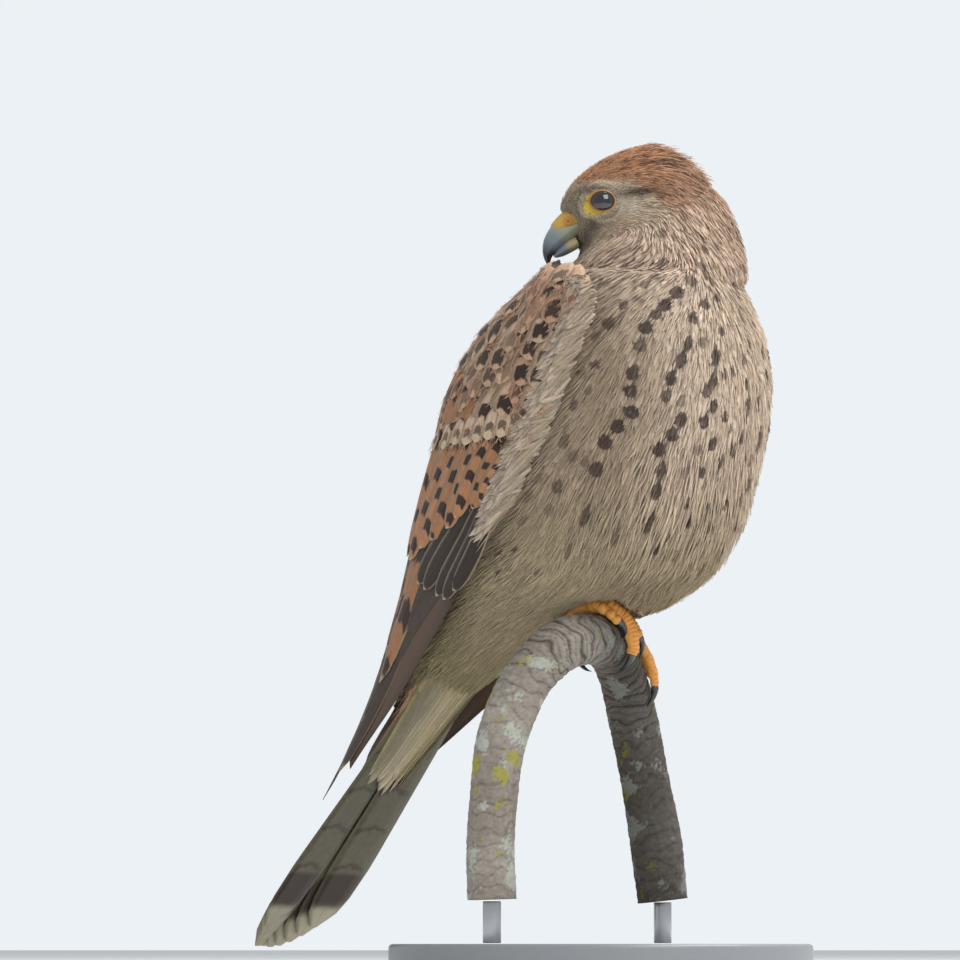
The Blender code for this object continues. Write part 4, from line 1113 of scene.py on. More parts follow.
def flight_material(name, pitch, roughness, tip_band=None):
    """Vane of a flight feather or covert: dark bars or spots between pale edges, a paler shaft and slanting barbs,
    all drawn in the feather's own length and width."""
    made, tree, shader = material(name, Roughness=roughness, Specular_IOR_Level=0.2, Sheen_Weight=0.05)
    bars = add(tree, "SeparateColor", (add(tree, "Attribute", attribute_name="bars"),)).outputs
    known = feather_facts(tree, 420.0, 4.0) | {"bar_0": bars[0], "bar_1": bars[1], "bar_2": bars[2]}
    follow(tree, known, (
        ("side", "Math", "MULTIPLY_ADD", "u", 2.0, -1.0),
        ("across", "Math", "ABSOLUTE", "side"),
        ("slant", "Math", "MULTIPLY_ADD", "across", -0.12, "v"),
        ("barb", "Math", "MULTIPLY", "slant", pitch),
        ("barb", "Math", "SINE", "barb"),
        ("barb", "Math", "MULTIPLY_ADD", "barb", 0.045, 0.72),
        ("grain", "Math", "MULTIPLY_ADD", "grit", 0.55, "barb"),
        ("tone", "Mix", "MULTIPLY", 1.0, "tint", "grain"),
        # bars: so many along the feather, each as wide as its share and reaching so far from the shaft
        ("number", "Math", "MULTIPLY", "bar_0", 20.0),
        ("beat", "Math", "MULTIPLY_ADD", "v", "number", "bar_1"),
        ("beat", "Math", "MULTIPLY_ADD", "grit", 0.22, "beat"),
        ("beat", "Math", "MULTIPLY_ADD", "across", -0.16, "beat"),
        ("beat", "Math", "FRACT", "beat"),
        ("beat", "Math", "SUBTRACT", "beat", 0.5),
        ("beat", "Math", "ABSOLUTE", "beat"),
        ("wide", "Math", "MULTIPLY", "mark_1", 0.5),
        ("wide", "Math", "SUBTRACT", "wide", "beat"),
        ("bar", "MapRange", "SMOOTHSTEP", "wide", -0.03, 0.05),
        ("reach", "Math", "SUBTRACT", "bar_2", "across"),
        ("reach", "MapRange", "SMOOTHSTEP", "reach", -0.06, 0.08),
        ("bar", "Math", "MULTIPLY", "bar", "reach"),
        ("bar", "Math", "MULTIPLY", "bar", "mark_0"),
        ("tone", "Mix", "MIX", "bar", "tone", "dark"),
    ))
    if tip_band:
        low, high, end = tip_band
        follow(tree, known, (
            ("into", "MapRange", "SMOOTHSTEP", "v", low, low + 0.02),
            ("past", "MapRange", "SMOOTHSTEP", "v", high, high + 0.02),
            ("band", "Math", "SUBTRACT", 1.0, "past"),
            ("band", "Math", "MULTIPLY", "into", "band"),
            ("band", "Math", "MULTIPLY", "band", 0.93),
            ("tone", "Mix", "MIX", "band", "tone", "dark"),
            ("tip", "MapRange", "SMOOTHSTEP", "v", high + 0.01, high + 0.035),
            ("tone", "Mix", "MIX", "tip", "tone", rgba(end)),
        ))
    follow(tree, known, (
        ("end", "MapRange", "SMOOTHSTEP", "v", 0.90, 1.0),
        ("edge", "Math", "MAXIMUM", "across", "end"),
        ("edge", "MapRange", "SMOOTHSTEP", "edge", 0.72, 0.98),
        ("edge", "Math", "MULTIPLY", "edge", "mark_2"),
        ("tone", "Mix", "MIX", "edge", "tone", rgba("#C9B697")),
        ("vane", "MapRange", "SMOOTHSTEP", "across", 0.02, 0.06),
        ("shaft", "Math", "SUBTRACT", 1.0, "vane"),
        ("shaft", "Math", "MULTIPLY", "shaft", 0.22),
        ("tone", "Mix", "MIX", "shaft", "tone", rgba("#4A382C")),
    ))
    dress(tree, shader, known["tone"], known["grain"], 0.4, 0.0002)
    return made


PRIMARY_BROWN = linear("#4A3F38")
PRIMARY_COVERT = linear("#3B302A")
RUFOUS = linear("#AE7A55")
COVERT_BUFF = linear("#C39274")
COVERT_TIP = linear("#D6C3A6")
MARK_BROWN = linear("#3A2C26")

# Flight feathers: middle of the root and of the tip in the picture, half width; the first of each group lies on top
PRIMARIES = (
    ((424, 520), (388, 650), 5.0), ((436, 530), (382, 676), 5.0), ((446, 540), (374, 700), 4.8),
    ((456, 545), (362, 722), 4.8), ((464, 548), (350, 746), 4.6), ((472, 548), (336, 772), 4.4),
    ((480, 545), (322, 796), 4.2),
)
INNER_FLIGHT = (
    ((440, 446), (410, 556), 5.2), ((456, 448), (419, 562), 5.4), ((465, 448), (431, 550), 4.8),
    ((475, 444), (441, 540), 4.6), ((486, 440), (453, 529), 4.4), ((495, 440), (464, 519), 4.2),
    ((503, 446), (478, 510), 4.0), ((511, 456), (490, 502), 3.8),
)
OUTLINE_FLIGHT = (((436, 470), (405, 600), 4.6), ((432, 500), (392, 650), 4.6))
# Primary coverts
DARK_COVERTS = (
    ((470, 505), (424, 582), 4.4), ((478, 504), (433, 590), 4.2), ((486, 502), (441, 596), 4.0),
    ((494, 500), (449, 597), 3.8), ((502, 500), (458, 590), 3.6),
)
# Middle of the dark mark of each covert in the picture, half width, share of the mark
COVERT_MARKS = (
    (565, 279, 3.6, 0.6), (538, 286, 3.6, 0.6), (540, 297, 3.0, 0.5), (518, 310, 4.4, 0.9), (576, 292, 2.8, 0.5),
    (570, 304, 2.6, 0.5), (582, 303, 2.6, 0.5), (557, 316, 4.2, 0.8), (486, 335, 4.2, 0.9), (503, 335, 4.4, 0.9),
    (538, 317, 2.8, 0.4), (531, 328, 2.8, 0.4), (519, 344, 2.8, 0.5), (546, 336, 4.4, 0.85), (538, 352, 4.0, 0.8),
    (552, 359, 4.0, 0.7), (467, 366, 4.4, 0.9), (489, 365, 4.2, 0.8), (506, 362, 4.0, 0.8), (496, 381, 4.0, 0.7),
    (527, 377, 4.4, 0.9), (545, 379, 4.4, 0.8), (481, 391, 2.8, 0.5), (472, 403, 2.6, 0.5), (449, 407, 4.2, 0.9),
    (510, 407, 4.6, 0.9), (537, 403, 4.8, 0.9), (491, 418, 4.2, 0.9), (517, 423, 3.4, 0.6), (524, 436, 3.6, 0.5),
    (452, 422, 4.0, 0.8), (459, 435, 4.0, 0.8), (470, 431, 3.6, 0.6), (482, 433, 3.6, 0.5), (463, 392, 3.6, 0.6),
)


# Loose barbs on each covert, and soft feathers over each wing's front edge
FRINGE_BARBS = 26
EDGE_FEATHERS = 700


def fringe(data, each):
    """Loose barbs along the rims of feathers, that soften their edges."""
    path, half, out = data["path"], data["half"], data["out"]
    count, stations = path.shape[:2]
    ahead = unit(np.gradient(path, axis=1))
    side_way = np.cross(ahead, unit(out - ahead * dot(out, ahead)))
    owner = np.repeat(np.arange(count), each)
    where = rng.integers(stations // 2, stations, len(owner))
    sign = rng.choice((-1.0, 1.0), len(owner)) * rng.uniform(0.55, 0.95, len(owner))
    pick = (owner, where)
    root = path[pick] + side_way[pick] * (half[pick] * sign)[:, None]
    way = unit(ahead[pick] + side_way[pick] * (0.7 * sign)[:, None] + rng.normal(0, 0.12, (len(owner), 3)))
    share = np.linspace(0, 1, 4)
    length = rng.uniform(1.6, 3.2, len(owner))
    line = root[:, None] + way[:, None] * (length[:, None] * share)[..., None]
    line = line + out[pick][:, None] * (0.15 + 0.25 * share - 0.5 * share ** 2)[:, None]
    tint = mix(data["tint"][owner] * 0.85, COVERT_TIP, rng.uniform(0.0, 0.25, (len(owner), 1)))
    tint = np.repeat(tint[:, None], 4, axis=1)
    half = np.outer(rng.uniform(0.09, 0.17, len(owner)), (0.8, 1, 0.7, 0.08))
    return dict(path=line, out=np.repeat(out[pick][:, None], 4, axis=1), half=half,
                thick=np.full((len(owner), 4), 0.08), tint=tint, dark=tint, marks=np.zeros_like(tint),
                bake=data["bake"][owner])


def edge_down(side):
    """Soft breast feathers that lie over the front edge of the folded wing."""
    count, stations = EDGE_FEATHERS, 6
    along = rng.uniform(0.02, 0.42, count)
    share = np.linspace(0, 1, stations)
    line = along[:, None] + np.outer(rng.uniform(0.022, 0.085, count), share)
    edge, normal = on_wing(side, line, 0 * line)
    inner, _ = on_wing(side, line, 0 * line + 0.08)
    forward = unit(edge - inner)
    start = rng.uniform(3.0, 7.5, (count, 1))
    reach = mix(start, rng.uniform(-5.0, 2.5, (count, 1)), share)
    lift = mix(-1.5, 3.4 + rng.uniform(-0.3, 0.5, (count, 1)), np.sin(share * math.pi / 2))
    path = edge + forward * reach[..., None] + normal * lift[..., None]
    wide = np.where(rng.random(count) < 0.45, rng.uniform(1.3, 2.1, count), rng.uniform(0.2, 0.35, count))
    half = wide[:, None] * np.interp(share, (0, 0.2, 0.5, 0.75, 0.92, 1.0), (0.3, 0.7, 1.0, 0.95, 0.6, 0.08))
    tint = mix(mix(EDGE_DOWN, BREAST, 0.5), FLANK, rng.random((count, 1))) * rng.uniform(0.8, 1.1, (count, 1))
    tint = np.repeat(tint[:, None], stations, axis=1)
    drop = np.stack((0.25 * rng.random(count), rng.uniform(0.1, 0.5, count)), axis=-1)[:, None]
    bake = np.stack((0.05 + 0.2 * along, 0.92 + 0.004 * start[:, 0]), axis=-1)
    thick = np.full((count, stations), 0.09)
    return with_marks(dict(path=path, out=normal, half=half, thick=thick, tint=tint, drop=drop, bake=bake), path)


def wing_feathers(side, name):
    long_kind, short_kind = Feathers(18), Feathers(10)

    def seen(table, kind, lifts, tint, marks, bars, shape, lean, step=0.14):
        for i, (root, tip, half) in enumerate(table):
            tone = tint * rng.uniform(0.9, 1.1)
            wing_feather(kind, side, (seen_on_wing(*root), seen_on_wing(*tip)), half, (lifts[0], lifts[1] - step * i),
                         tone, MARK_BROWN, marks, (bars[0], bars[1] + 0.31 * i, bars[2]), shape, 0.35, lean)

    seen(PRIMARIES, long_kind, (0.2, 1.3), PRIMARY_BROWN, (0, 0, 0.45), (0, 0, 0), LONG_SHAPE, 0.12)
    for i in range(6):
        across = 0.95 - 0.14 * i
        wing_feather(long_kind, side, ((0.50, across), (0.86 + 0.018 * i, across)), 5.0, (0.2, 1.1 - 0.1 * i),
                     PRIMARY_BROWN * rng.uniform(0.9, 1.15), MARK_BROWN, (0, 0, 0.45), (0, 0, 0), lean=0.1)
    for i in range(9):
        across = 1.0 - 0.085 * i
        wing_feather(long_kind, side, ((0.34, across), (0.60 + 0.027 * i, across - 0.02)), 5.6, (0.7, 2.4 - 0.13 * i),
                     RUFOUS * rng.uniform(0.85, 1.05), MARK_BROWN, (1, 0.42, 0.8), (0.24, 0.35 + 0.31 * i, 0.75),
                     ROUND_SHAPE, 0.35, 0.1)
    seen(OUTLINE_FLIGHT, long_kind, (0.6, 1.9), linear("#7A5B45"), (0.7, 0.5, 0.7), (0.3, 0.2, 0.8), LONG_SHAPE, 0.12)
    seen(DARK_COVERTS, long_kind, (0.7, 2.1), PRIMARY_COVERT, (0, 0, 0.8), (0, 0, 0), ROUND_SHAPE, 0.14)
    seen(INNER_FLIGHT, long_kind, (1.0, 2.9), RUFOUS, (1, 0.40, 0.85), (0.16, 0.35, 0.62), ROUND_SHAPE, 0.14)
    # rows of coverts below, then those whose marks are seen
    for row in range(10):
        along = 0.045 + 0.040 * row
        count = 7
        for j in range(count + 1):
            across = (j + 0.5 * (row % 2)) / count
            jitter = rng.normal(0, 0.006, 2)
            root = (max(along - 0.05, 0.035) + jitter[0], min(max(across + jitter[1], 0), 1))
            tip = (along + 0.055 + jitter[0], min(across + 0.03, 1))
            wing_feather(short_kind, side, (root, tip), rng.uniform(5.2, 6.2), (-0.4, 0.7),
                         mix(COVERT_BUFF, COVERT_TIP, rng.uniform(0, 0.55)) * rng.uniform(0.8, 1.1), MARK_BROWN,
                         (rng.uniform(0.6, 1.0), 0.38, 0.5), (0.05, 0.74, 0.6), ROUND_SHAPE, 0.12, 0.05)
    for i in range(7):
        root, tip = seen_on_wing(446 + 11 * i, 424 - 3 * i), seen_on_wing(441 + 11 * i, 452 - 2 * i)
        wing_feather(short_kind, side, (root, tip), 3.8, (0.6, 2.2), mix(COVERT_BUFF, COVERT_TIP, 0.65), MARK_BROWN,
                     (0.8, 0.3, 0.6), (0.05, 0.84, 0.55), ROUND_SHAPE, 0.12, 0.05)
    for px, py, half, share in sorted(COVERT_MARKS, key=lambda mark: -mark[1]):
        root, tip = seen_on_wing(px + 8, py - 26), seen_on_wing(px - 3, py + 10)
        tint = mix(COVERT_BUFF, COVERT_TIP, rng.uniform(0, 0.45)) * rng.uniform(0.85, 1.1)
        wing_feather(short_kind, side, (root, tip), half * 1.4, (-0.2, 1.4), tint, MARK_BROWN,
                     (min(share * 1.2, 1), 0.42, 0.7), (0.05, 0.78, 0.68), ROUND_SHAPE, 0.12, 0.05)
    build_feathers(f"{name}_edge_down", edge_down(side), THIN, 0.2, PLUMAGE)
    for kind, label, camber in ((long_kind, "quills", 0.08), (short_kind, "coverts", 0.05)):
        build_feathers(f"{name}_{label}", kind.arrays(), BROAD, camber, WING_FINISH)
    build_feathers(f"{name}_fringe", fringe(short_kind.arrays(), FRINGE_BARBS), HAIR, 0.0, PLUMAGE)


WING_FINISH = flight_material("wing_feather_keratin", 260.0, 0.62)
for side, name in ((-1, "wing_right"), (1, "wing_left")):
    core = wing_core(side, f"{name}_core")
    wing_feathers(side, name)
    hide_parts(name)

# Tail

TAIL_BASE, TAIL_LENGTH, TAIL_SLOPE, TAIL_SWING = body(-47, 0, 136), 168, math.radians(41.4), -0.032
# the underside's pale grey is darkened far down as painted shade under the tail; the middle pair, on top, keep their
# own rufous
TAIL_UNDER_SHADED, TAIL_TOP = linear("#625D4C"), linear("#A98465")
TAIL_SHAPE = ((0, 0.1, 0.4, 0.8, 0.93, 0.98, 1.0), (0.45, 0.6, 0.85, 1.0, 0.86, 0.5, 0.15))


def tail_frame():
    ahead = unit(body(-math.sin(TAIL_SLOPE), TAIL_SWING, -math.cos(TAIL_SLOPE)))
    return ahead, body(-math.cos(TAIL_SLOPE), 0, math.sin(TAIL_SLOPE)), body(0, 1, 0)


def tail_feathers():
    """Twelve feathers, the middle pair on top and the outer ones stepped below."""
    ahead, above, left = tail_frame()
    kind = Feathers(22)
    share = np.linspace(0, 1, 22)
    for i in range(6):
        for side in (1, -1):
            length = TAIL_LENGTH * (1 - 0.0035 * i * i)
            drop = 1.25 * i + (0.6 if side > 0 else 0)
            sideways = side * (0.8 + (0.7 + 1.65 * share) * i)
            path = (TAIL_BASE + np.outer(length * share, ahead) + np.outer(sideways, left)
                    - np.outer(drop * (0.35 + 0.65 * share) - 2.5, above))
            out = np.broadcast_to(unit(above + left * side * 0.06), path.shape)
            # all but the middle pair take the underside tint with its painted shade
            kind.put(path, out, 10.5, 0.6, TAIL_UNDER_SHADED if i > 0 else TAIL_TOP, MARK_BROWN, (0.6, 0.14, 0.2),
                     (0.42, 0.13 * i, 0.8), TAIL_SHAPE)
    return kind.arrays()


TAIL_FINISH = flight_material("tail_feather_keratin", 420.0, 0.6, (0.82, 0.915, "#A69E88"))
tail_pieces = build_feathers("tail_feathers", tail_feathers(), BROAD, 0.05, TAIL_FINISH)
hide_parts("tail")


def tail_coverts():
    """Soft pale feathers that cover the root of the tail, below and above."""
    ahead, above, left = tail_frame()
    kind = Feathers(9)
    share = np.linspace(0, 1, 9)
    for row in range(12):
        for j in range(9):
            for under in (1, -1):
                angle = (j - 4 + 0.5 * (row % 2)) / 4.5 * 1.5
                start = 0.0 + 0.03 * row
                half_width = np.interp(start, (0, 0.16, 0.32, 0.46), (16, 17, 15, 11))
                tall = np.interp(start, (0, 0.16, 0.32, 0.46), (8, 8, 6, 4)) * (1 if under > 0 else 0.7)
                root = (TAIL_BASE + ahead * TAIL_LENGTH * start + left * math.sin(angle) * half_width
                        - above * under * math.cos(angle) * tall)
                away = unit(left * math.sin(angle) * 0.8 - above * under * math.cos(angle))
                length = rng.uniform(26, 34)
                inward = -left * math.sin(angle) * 0.12 + above * under * 0.10 * math.cos(angle)
                path = root + np.outer(length * share, unit(ahead + inward)) + np.outer(0.9 * share ** 0.7, away)
                tint = (mix(VENT, BELLY, rng.random()) if under > 0 else MANTLE) * rng.uniform(0.9, 1.12)
                kind.put(path, np.broadcast_to(away, path.shape), rng.uniform(2.2, 3.0), 0.25, tint, MARK_BROWN,
                         (0.15 * (rng.random() < 0.3), 0.1, 0.4), (0, 0, 0), ROUND_SHAPE)
    return kind.arrays()


build_feathers("tail_coverts", tail_coverts(), THIN, 0.2, PLUMAGE)

# Bark

BRANCH_RADIUS = 8.8
BRANCH_ROWS = (
    (-39, -34, 27.6, 0.98),
    (-39.5, -34, 45, 0.95),
    (-38.5, -33.5, 62, 0.98),
    (-35.5, -32, 84, 1.0),
    (-27, -29, 104.5, 1.04),
    (-14.5, -22.5, 117.5, 1.06),
    (-3, -11.5, 120.4, 1.0),
    (3.5, 0, 117, 0.97),
    (8.5, 10.5, 107.5, 0.97),
    (12.5, 17, 92, 1.0),
    (16.5, 20, 72, 1.02),
    (20.5, 21.5, 49.5, 1.05),
    (23, 22, 27.6, 1.05),
)


# BARK_LIGHT and BARK_DARK tint the rises and dips of the bark and the crease colour its ring creases: painted light and
# shade on the relief; BARK_PINK is the bark's own colour
BARK_LIGHT, BARK_DARK, BARK_PINK, BARK_CREASE_SHADE = (linear(c) for c in ("#B3AAA0", "#7F766C", "#8F8376", "#4A433C"))
LICHEN_GREY, LICHEN_YELLOW, WOOD_CUT = (linear(c) for c in ("#B9BDB0", "#A39B3E", "#C9A777"))


def carried_frames(path):
    """Directions ahead, aside and over for each point of a path, carried along without twist."""
    ahead = unit(np.gradient(path, axis=0))
    aside = np.empty_like(ahead)
    aside[0] = unit(np.cross(ahead[0], (0.3, 1, 0.2)))
    for i in range(1, len(path)):
        aside[i] = unit(aside[i - 1] - ahead[i] * (aside[i - 1] * ahead[i]).sum())
    return ahead, aside, np.cross(ahead, aside)


def tube(path, radii, round_count, shape=None):
    """A closed tube: points, faces and (angle share, along share). The shape gives each point's radius share."""
    ahead, aside, over = carried_frames(path)
    turn = np.linspace(0, 2 * math.pi, round_count, endpoint=False)
    reach = np.asarray(radii)[:, None] * (np.ones((len(path), round_count)) if shape is None else shape)
    rings = (path[:, None] + aside[:, None] * (np.cos(turn) * reach)[..., None]
             + over[:, None] * (np.sin(turn) * reach)[..., None])
    count = len(path)
    points = np.concatenate((rings.reshape(-1, 3), path[:1], path[-1:]))
    u, v = np.meshgrid(np.linspace(0, 1, count), turn / (2 * math.pi), indexing="ij")
    uv = np.concatenate((np.stack((v, u), axis=-1).reshape(-1, 2), ((0.5, 0), (0.5, 1))))
    return points, ring_faces(count, round_count), uv


def tinted_material(name, roughness, grain, scale, bump_depth, **sockets):
    """A finish whose tint is carried by the piece, with fine grain of the given share and scale."""
    made, tree, shader = material(name, Roughness=roughness, **sockets)
    place = add(tree, "TexCoord").outputs["Object"]
    known = {"tint": add(tree, "Attribute", attribute_name="tint"),
             "grit": add(tree, "TexNoise", {"Vector": place, "Scale": scale, "Detail": 5.0})}
    follow(tree, known, (
        ("level", "Math", "MULTIPLY_ADD", "grit", 2 * grain, 1 - grain),
        ("tone", "Mix", "MULTIPLY", 1.0, "tint", "level"),
    ))
    dress(tree, shader, known["tone"], known["grit"], 0.5, bump_depth)
    return made


def finished(name, data, uv_place, finish, slot_name, tints, *nodes):
    """A closed piece from points, faces and its own unwrap, tinted, riding and put in place of its solids."""
    points, quads, uv = data
    thing = quad_mesh(name, points, quads, uv, uv * 0.2 + uv_place, {"tint": tints})
    thing.data.materials.append(finish)
    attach(thing, "root")
    if nodes:
        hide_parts(*nodes)
    return thing


def make_branch():
    count, around = 420, 110
    rows = spread(BRANCH_ROWS, count)
    path = rows[:, :3]
    turn = np.linspace(0, 2 * math.pi, around, endpoint=False)
    length = np.concatenate(([0], np.cumsum(np.linalg.norm(np.diff(path, axis=0), axis=1))))
    i, j = np.meshgrid(length, turn, indexing="ij")
    circle = np.stack((np.cos(j) * 1.4, np.sin(j) * 1.4, i * 0.16), axis=-1)
    wander = noise_at(circle, 1.0, 3.1).reshape(i.shape)
    rings = np.abs(np.sin(i * 0.62 + wander * 2.4 + 0.6 * np.sin(j)))
    bend = ramp(length, 70, 100) * ramp(-length, -175, -140)
    crease = (1 - rings) ** 5 * (0.35 + 0.9 * bend[:, None])
    fine_rings = (1 - np.abs(np.sin(i * 1.5 + wander * 4.1))) ** 4 * (0.2 + 0.8 * bend[:, None])
    crease = np.maximum(crease, 0.55 * fine_rings)
    bumps = noise_at(np.stack((np.cos(j) * 3.2, np.sin(j) * 3.2, i * 0.45), axis=-1), 1.0, 9.0).reshape(i.shape)
    fine = noise_at(np.stack((np.cos(j) * 9, np.sin(j) * 9, i * 1.1), axis=-1), 1.0, 5.0).reshape(i.shape)
    shape = 1 + 0.03 * bumps + 0.018 * fine - 0.05 * crease + 0.02 * np.sin(i * 0.13)
    points, quads, uv = tube(path, BRANCH_RADIUS * rows[:, 3], around, shape)
    depth = np.concatenate(((shape - 1).ravel(), (0, 0)))
    crease = np.concatenate((crease.ravel(), (0, 0)))
    fine = np.concatenate((fine.ravel(), (0, 0)))
    patches = noise_at(points, 0.09, 2.0)
    # darker in the bark's dips and lighter on its rises: painted shade and painted light that follow the relief
    level = np.clip(0.5 + depth * 9 + fine * 0.25, 0, 1)[:, None]
    tints = mix(BARK_DARK, BARK_LIGHT, level)
    tints = mix(tints, BARK_PINK, np.clip(0.5 + patches, 0, 1)[:, None] * 0.5)
    # ring creases painted dark: painted shade in the creases
    tints = mix(tints, BARK_CREASE_SHADE, np.clip(crease * 1.5, 0, 0.85)[:, None])
    left_leg = ramp(-points[:, 0], 8, 20)
    # the right leg of the branch darkened to 0.3, its lichen too: partly darker bark, partly painted shade
    tints = tints * mix(0.30, 1.0, ramp(-points[:, 0], -9, 9))[:, None]
    grey = noise_at(points, 0.14, 7.0) + 0.35 * fine + 0.35 * left_leg * np.exp(-((points[:, 2] - 90) / 9) ** 2)
    tints = mix(tints, LICHEN_GREY * mix(0.45, 1.0, left_leg)[:, None], ramp(grey, 0.32, 0.46)[:, None] * 0.75)
    moss = noise_at(points, 0.16, 12.0) + 0.5 * fine + 0.5 * left_leg * np.exp(-((points[:, 2] - 75) / 7) ** 2)
    tints = mix(tints, LICHEN_YELLOW * mix(0.5, 1.0, left_leg)[:, None], ramp(moss, 0.60, 0.72)[:, None] * 0.85)
    ends = np.zeros(len(points), bool)
    ends[-2:] = True
    tints[ends] = WOOD_CUT
    return finished("perch_bark", (points, quads, uv), (0.02, 0.02), BARK_FINISH, "bark", tints, "perch_branch")


# Dry rough bark, quite matt
BARK_FINISH = tinted_material("bark_with_lichen", 0.9, 0.22, 500.0, 0.0005, Specular_IOR_Level=0.25)
make_branch()


# Feet

TOE_RADIUS, CLAW_LENGTH = 2.5, 9
RIGHT_TOES = (
    (((2, -6, 2.4), (4, 28, 1.2), (7, 64, 0.6), (10, 104, 0.4)), 1.08),
    (((3, -6, 2.4), (7, 12, 1.8), (11.5, 30, 1.0), (15.5, 50, 0.6)), 0.98),
    (((1, -8, 2.2), (1, 12, 1.2), (2, 34, 0.5), (3, 54, 0.3)), 0.85),
    (((1, -14, 2.4), (-1, -50, 1.2), (-2, -85, 0.5), (-3, -112, 0.3)), 0.9),
)
LEFT_TOES = (
    (((17, -8, 2.4), (22, 3, 1.6), (28, 12, 0.9), (34, 22, 0.5)), 1.08),
    (((18, -6, 2.2), (24, 25, 1.0), (29, 48, 0.5), (34, 72, 0.3)), 0.8),
    (((16, -10, 2.2), (21, -24, 1.2), (26, -38, 0.6), (30, -52, 0.4)), 0.9),
    (((16, -14, 2.2), (14, -50, 1.0), (13, -85, 0.5), (12, -112, 0.3)), 0.9),
)
FEET = (("right", RIGHT_TOES, 2), ("left", LEFT_TOES, 17))
BRANCH_LINE = spread(BRANCH_ROWS, 240)
TOE_ORANGE, TOE_GROOVE, TOE_YELLOW = (linear(c) for c in ("#E89C48", "#95581E", "#E6B25E"))
CLAW_BLACK, CLAW_GREY = linear("#252427"), linear("#55524F")


def branch_frame(distance):
    """Middle, up, forward and radius of the branch at a distance from its top, along the bird's left."""
    path = BRANCH_LINE[:, :3]
    i = int(path[:, 2].argmax())
    walked, step = 0.0, 1 if distance > 0 else -1
    while walked < abs(distance) and 1 < i < len(path) - 2:
        walked += np.linalg.norm(path[i + step] - path[i])
        i += step
    along = unit(path[i + 1] - path[i - 1])
    ahead = body(1, 0, 0)
    ahead = unit(ahead - along * (ahead * along).sum())
    up = np.cross(ahead, along)
    return path[i], up if up[2] > 0 else -up, ahead, BRANCH_RADIUS * BRANCH_LINE[i, 3]


def grip_path(stops, clearance, count):
    out = []
    for distance, angle, extra in spread(stops, 12):
        middle, up, ahead, radius = branch_frame(distance)
        angle = math.radians(angle)
        out.append(middle + (up * math.cos(angle) + ahead * math.sin(angle)) * (radius + clearance + extra))
    return spread(out, count)


def away_from_branch(points):
    path = BRANCH_LINE[:, :3]
    nearest = path[((points[:, None] - path[None]) ** 2).sum(axis=-1).argmin(axis=1)]
    return unit(points - nearest)


def scaled_toe(path, radii, pads, pitch):
    """A toe with broad plates over its top, fine scales on its sides and soft pads below."""
    around = 40
    away = away_from_branch(path)
    ahead, aside, over = carried_frames(path)
    turn = np.linspace(0, 2 * math.pi, around, endpoint=False)
    direction = aside[:, None] * np.cos(turn)[:, None] + over[:, None] * np.sin(turn)[:, None]
    top = (direction * away[:, None]).sum(axis=-1)
    length = np.concatenate(([0], np.cumsum(np.linalg.norm(np.diff(path, axis=0), axis=1))))
    beat = (length / pitch) % 1
    plate = (np.minimum(beat, 1 - beat) * 2)[:, None] ** 0.5
    groove = (1 - plate) * ramp(top, 0.05, 0.4)
    pebbles = noise_at((path[:, None] + direction * 2.4).reshape(-1, 3), 1.7, 4.0).reshape(top.shape)
    pad = pads * ramp(-top, 0.2, 0.8) * (0.5 + 0.5 * np.cos(length / 7.2 * 2 * math.pi))[:, None]
    shape = 1 - 0.15 * groove + 0.05 * pebbles * ramp(-top, -0.5, 0.1) + 0.14 * pad
    data = tube(path, radii, around, shape)
    shade = np.clip(groove * 0.75 + 0.25 * np.clip(-pebbles, 0, 1) * ramp(-top, -0.4, 0.2), 0, 1)
    shade = np.concatenate((shade.ravel(), (0, 0)))[:, None]
    tints = mix(TOE_ORANGE, TOE_GROOVE, shade)
    tints = mix(tints, TOE_YELLOW, np.concatenate((ramp(-top, 0.0, 0.7).ravel(), (0, 0)))[:, None] * 0.6)
    return data, tints


def claw_shape(path, radius):
    end, ahead = path[-1], unit(path[-1] - path[-3])
    away = away_from_branch(end[None])[0]
    turn = unit(np.cross(ahead, away))
    points, radii = [], []
    point, count = end - ahead * 0.5, 26
    for i in range(count):
        share = i / (count - 1)
        points.append(point.copy())
        radii.append(max(1.55 * (1 - share) ** 0.8, 0.14) * min(1, 0.8 + 2 * share))
        bend = math.radians((40 + 50 * share) / (count - 1))
        ahead = unit(ahead * math.cos(bend) - away * math.sin(bend))
        away = unit(np.cross(turn, ahead))
        point = point + ahead * (CLAW_LENGTH + 0.4) / (count - 1)
    return np.array(points), np.array(radii)


# Dry scaly skin with a little light below its surface, and claws of hard black horn with a shine
TOE_FINISH = tinted_material("scaled_toe_skin", 0.45, 0.12, 900.0, 0.0001, Subsurface_Weight=0.08,
                             Specular_IOR_Level=0.45)
CLAW_FINISH = tinted_material("black_claw_horn", 0.22, 0.08, 300.0, 0.00003, Specular_IOR_Level=0.55,
                              Coat_Weight=0.3)

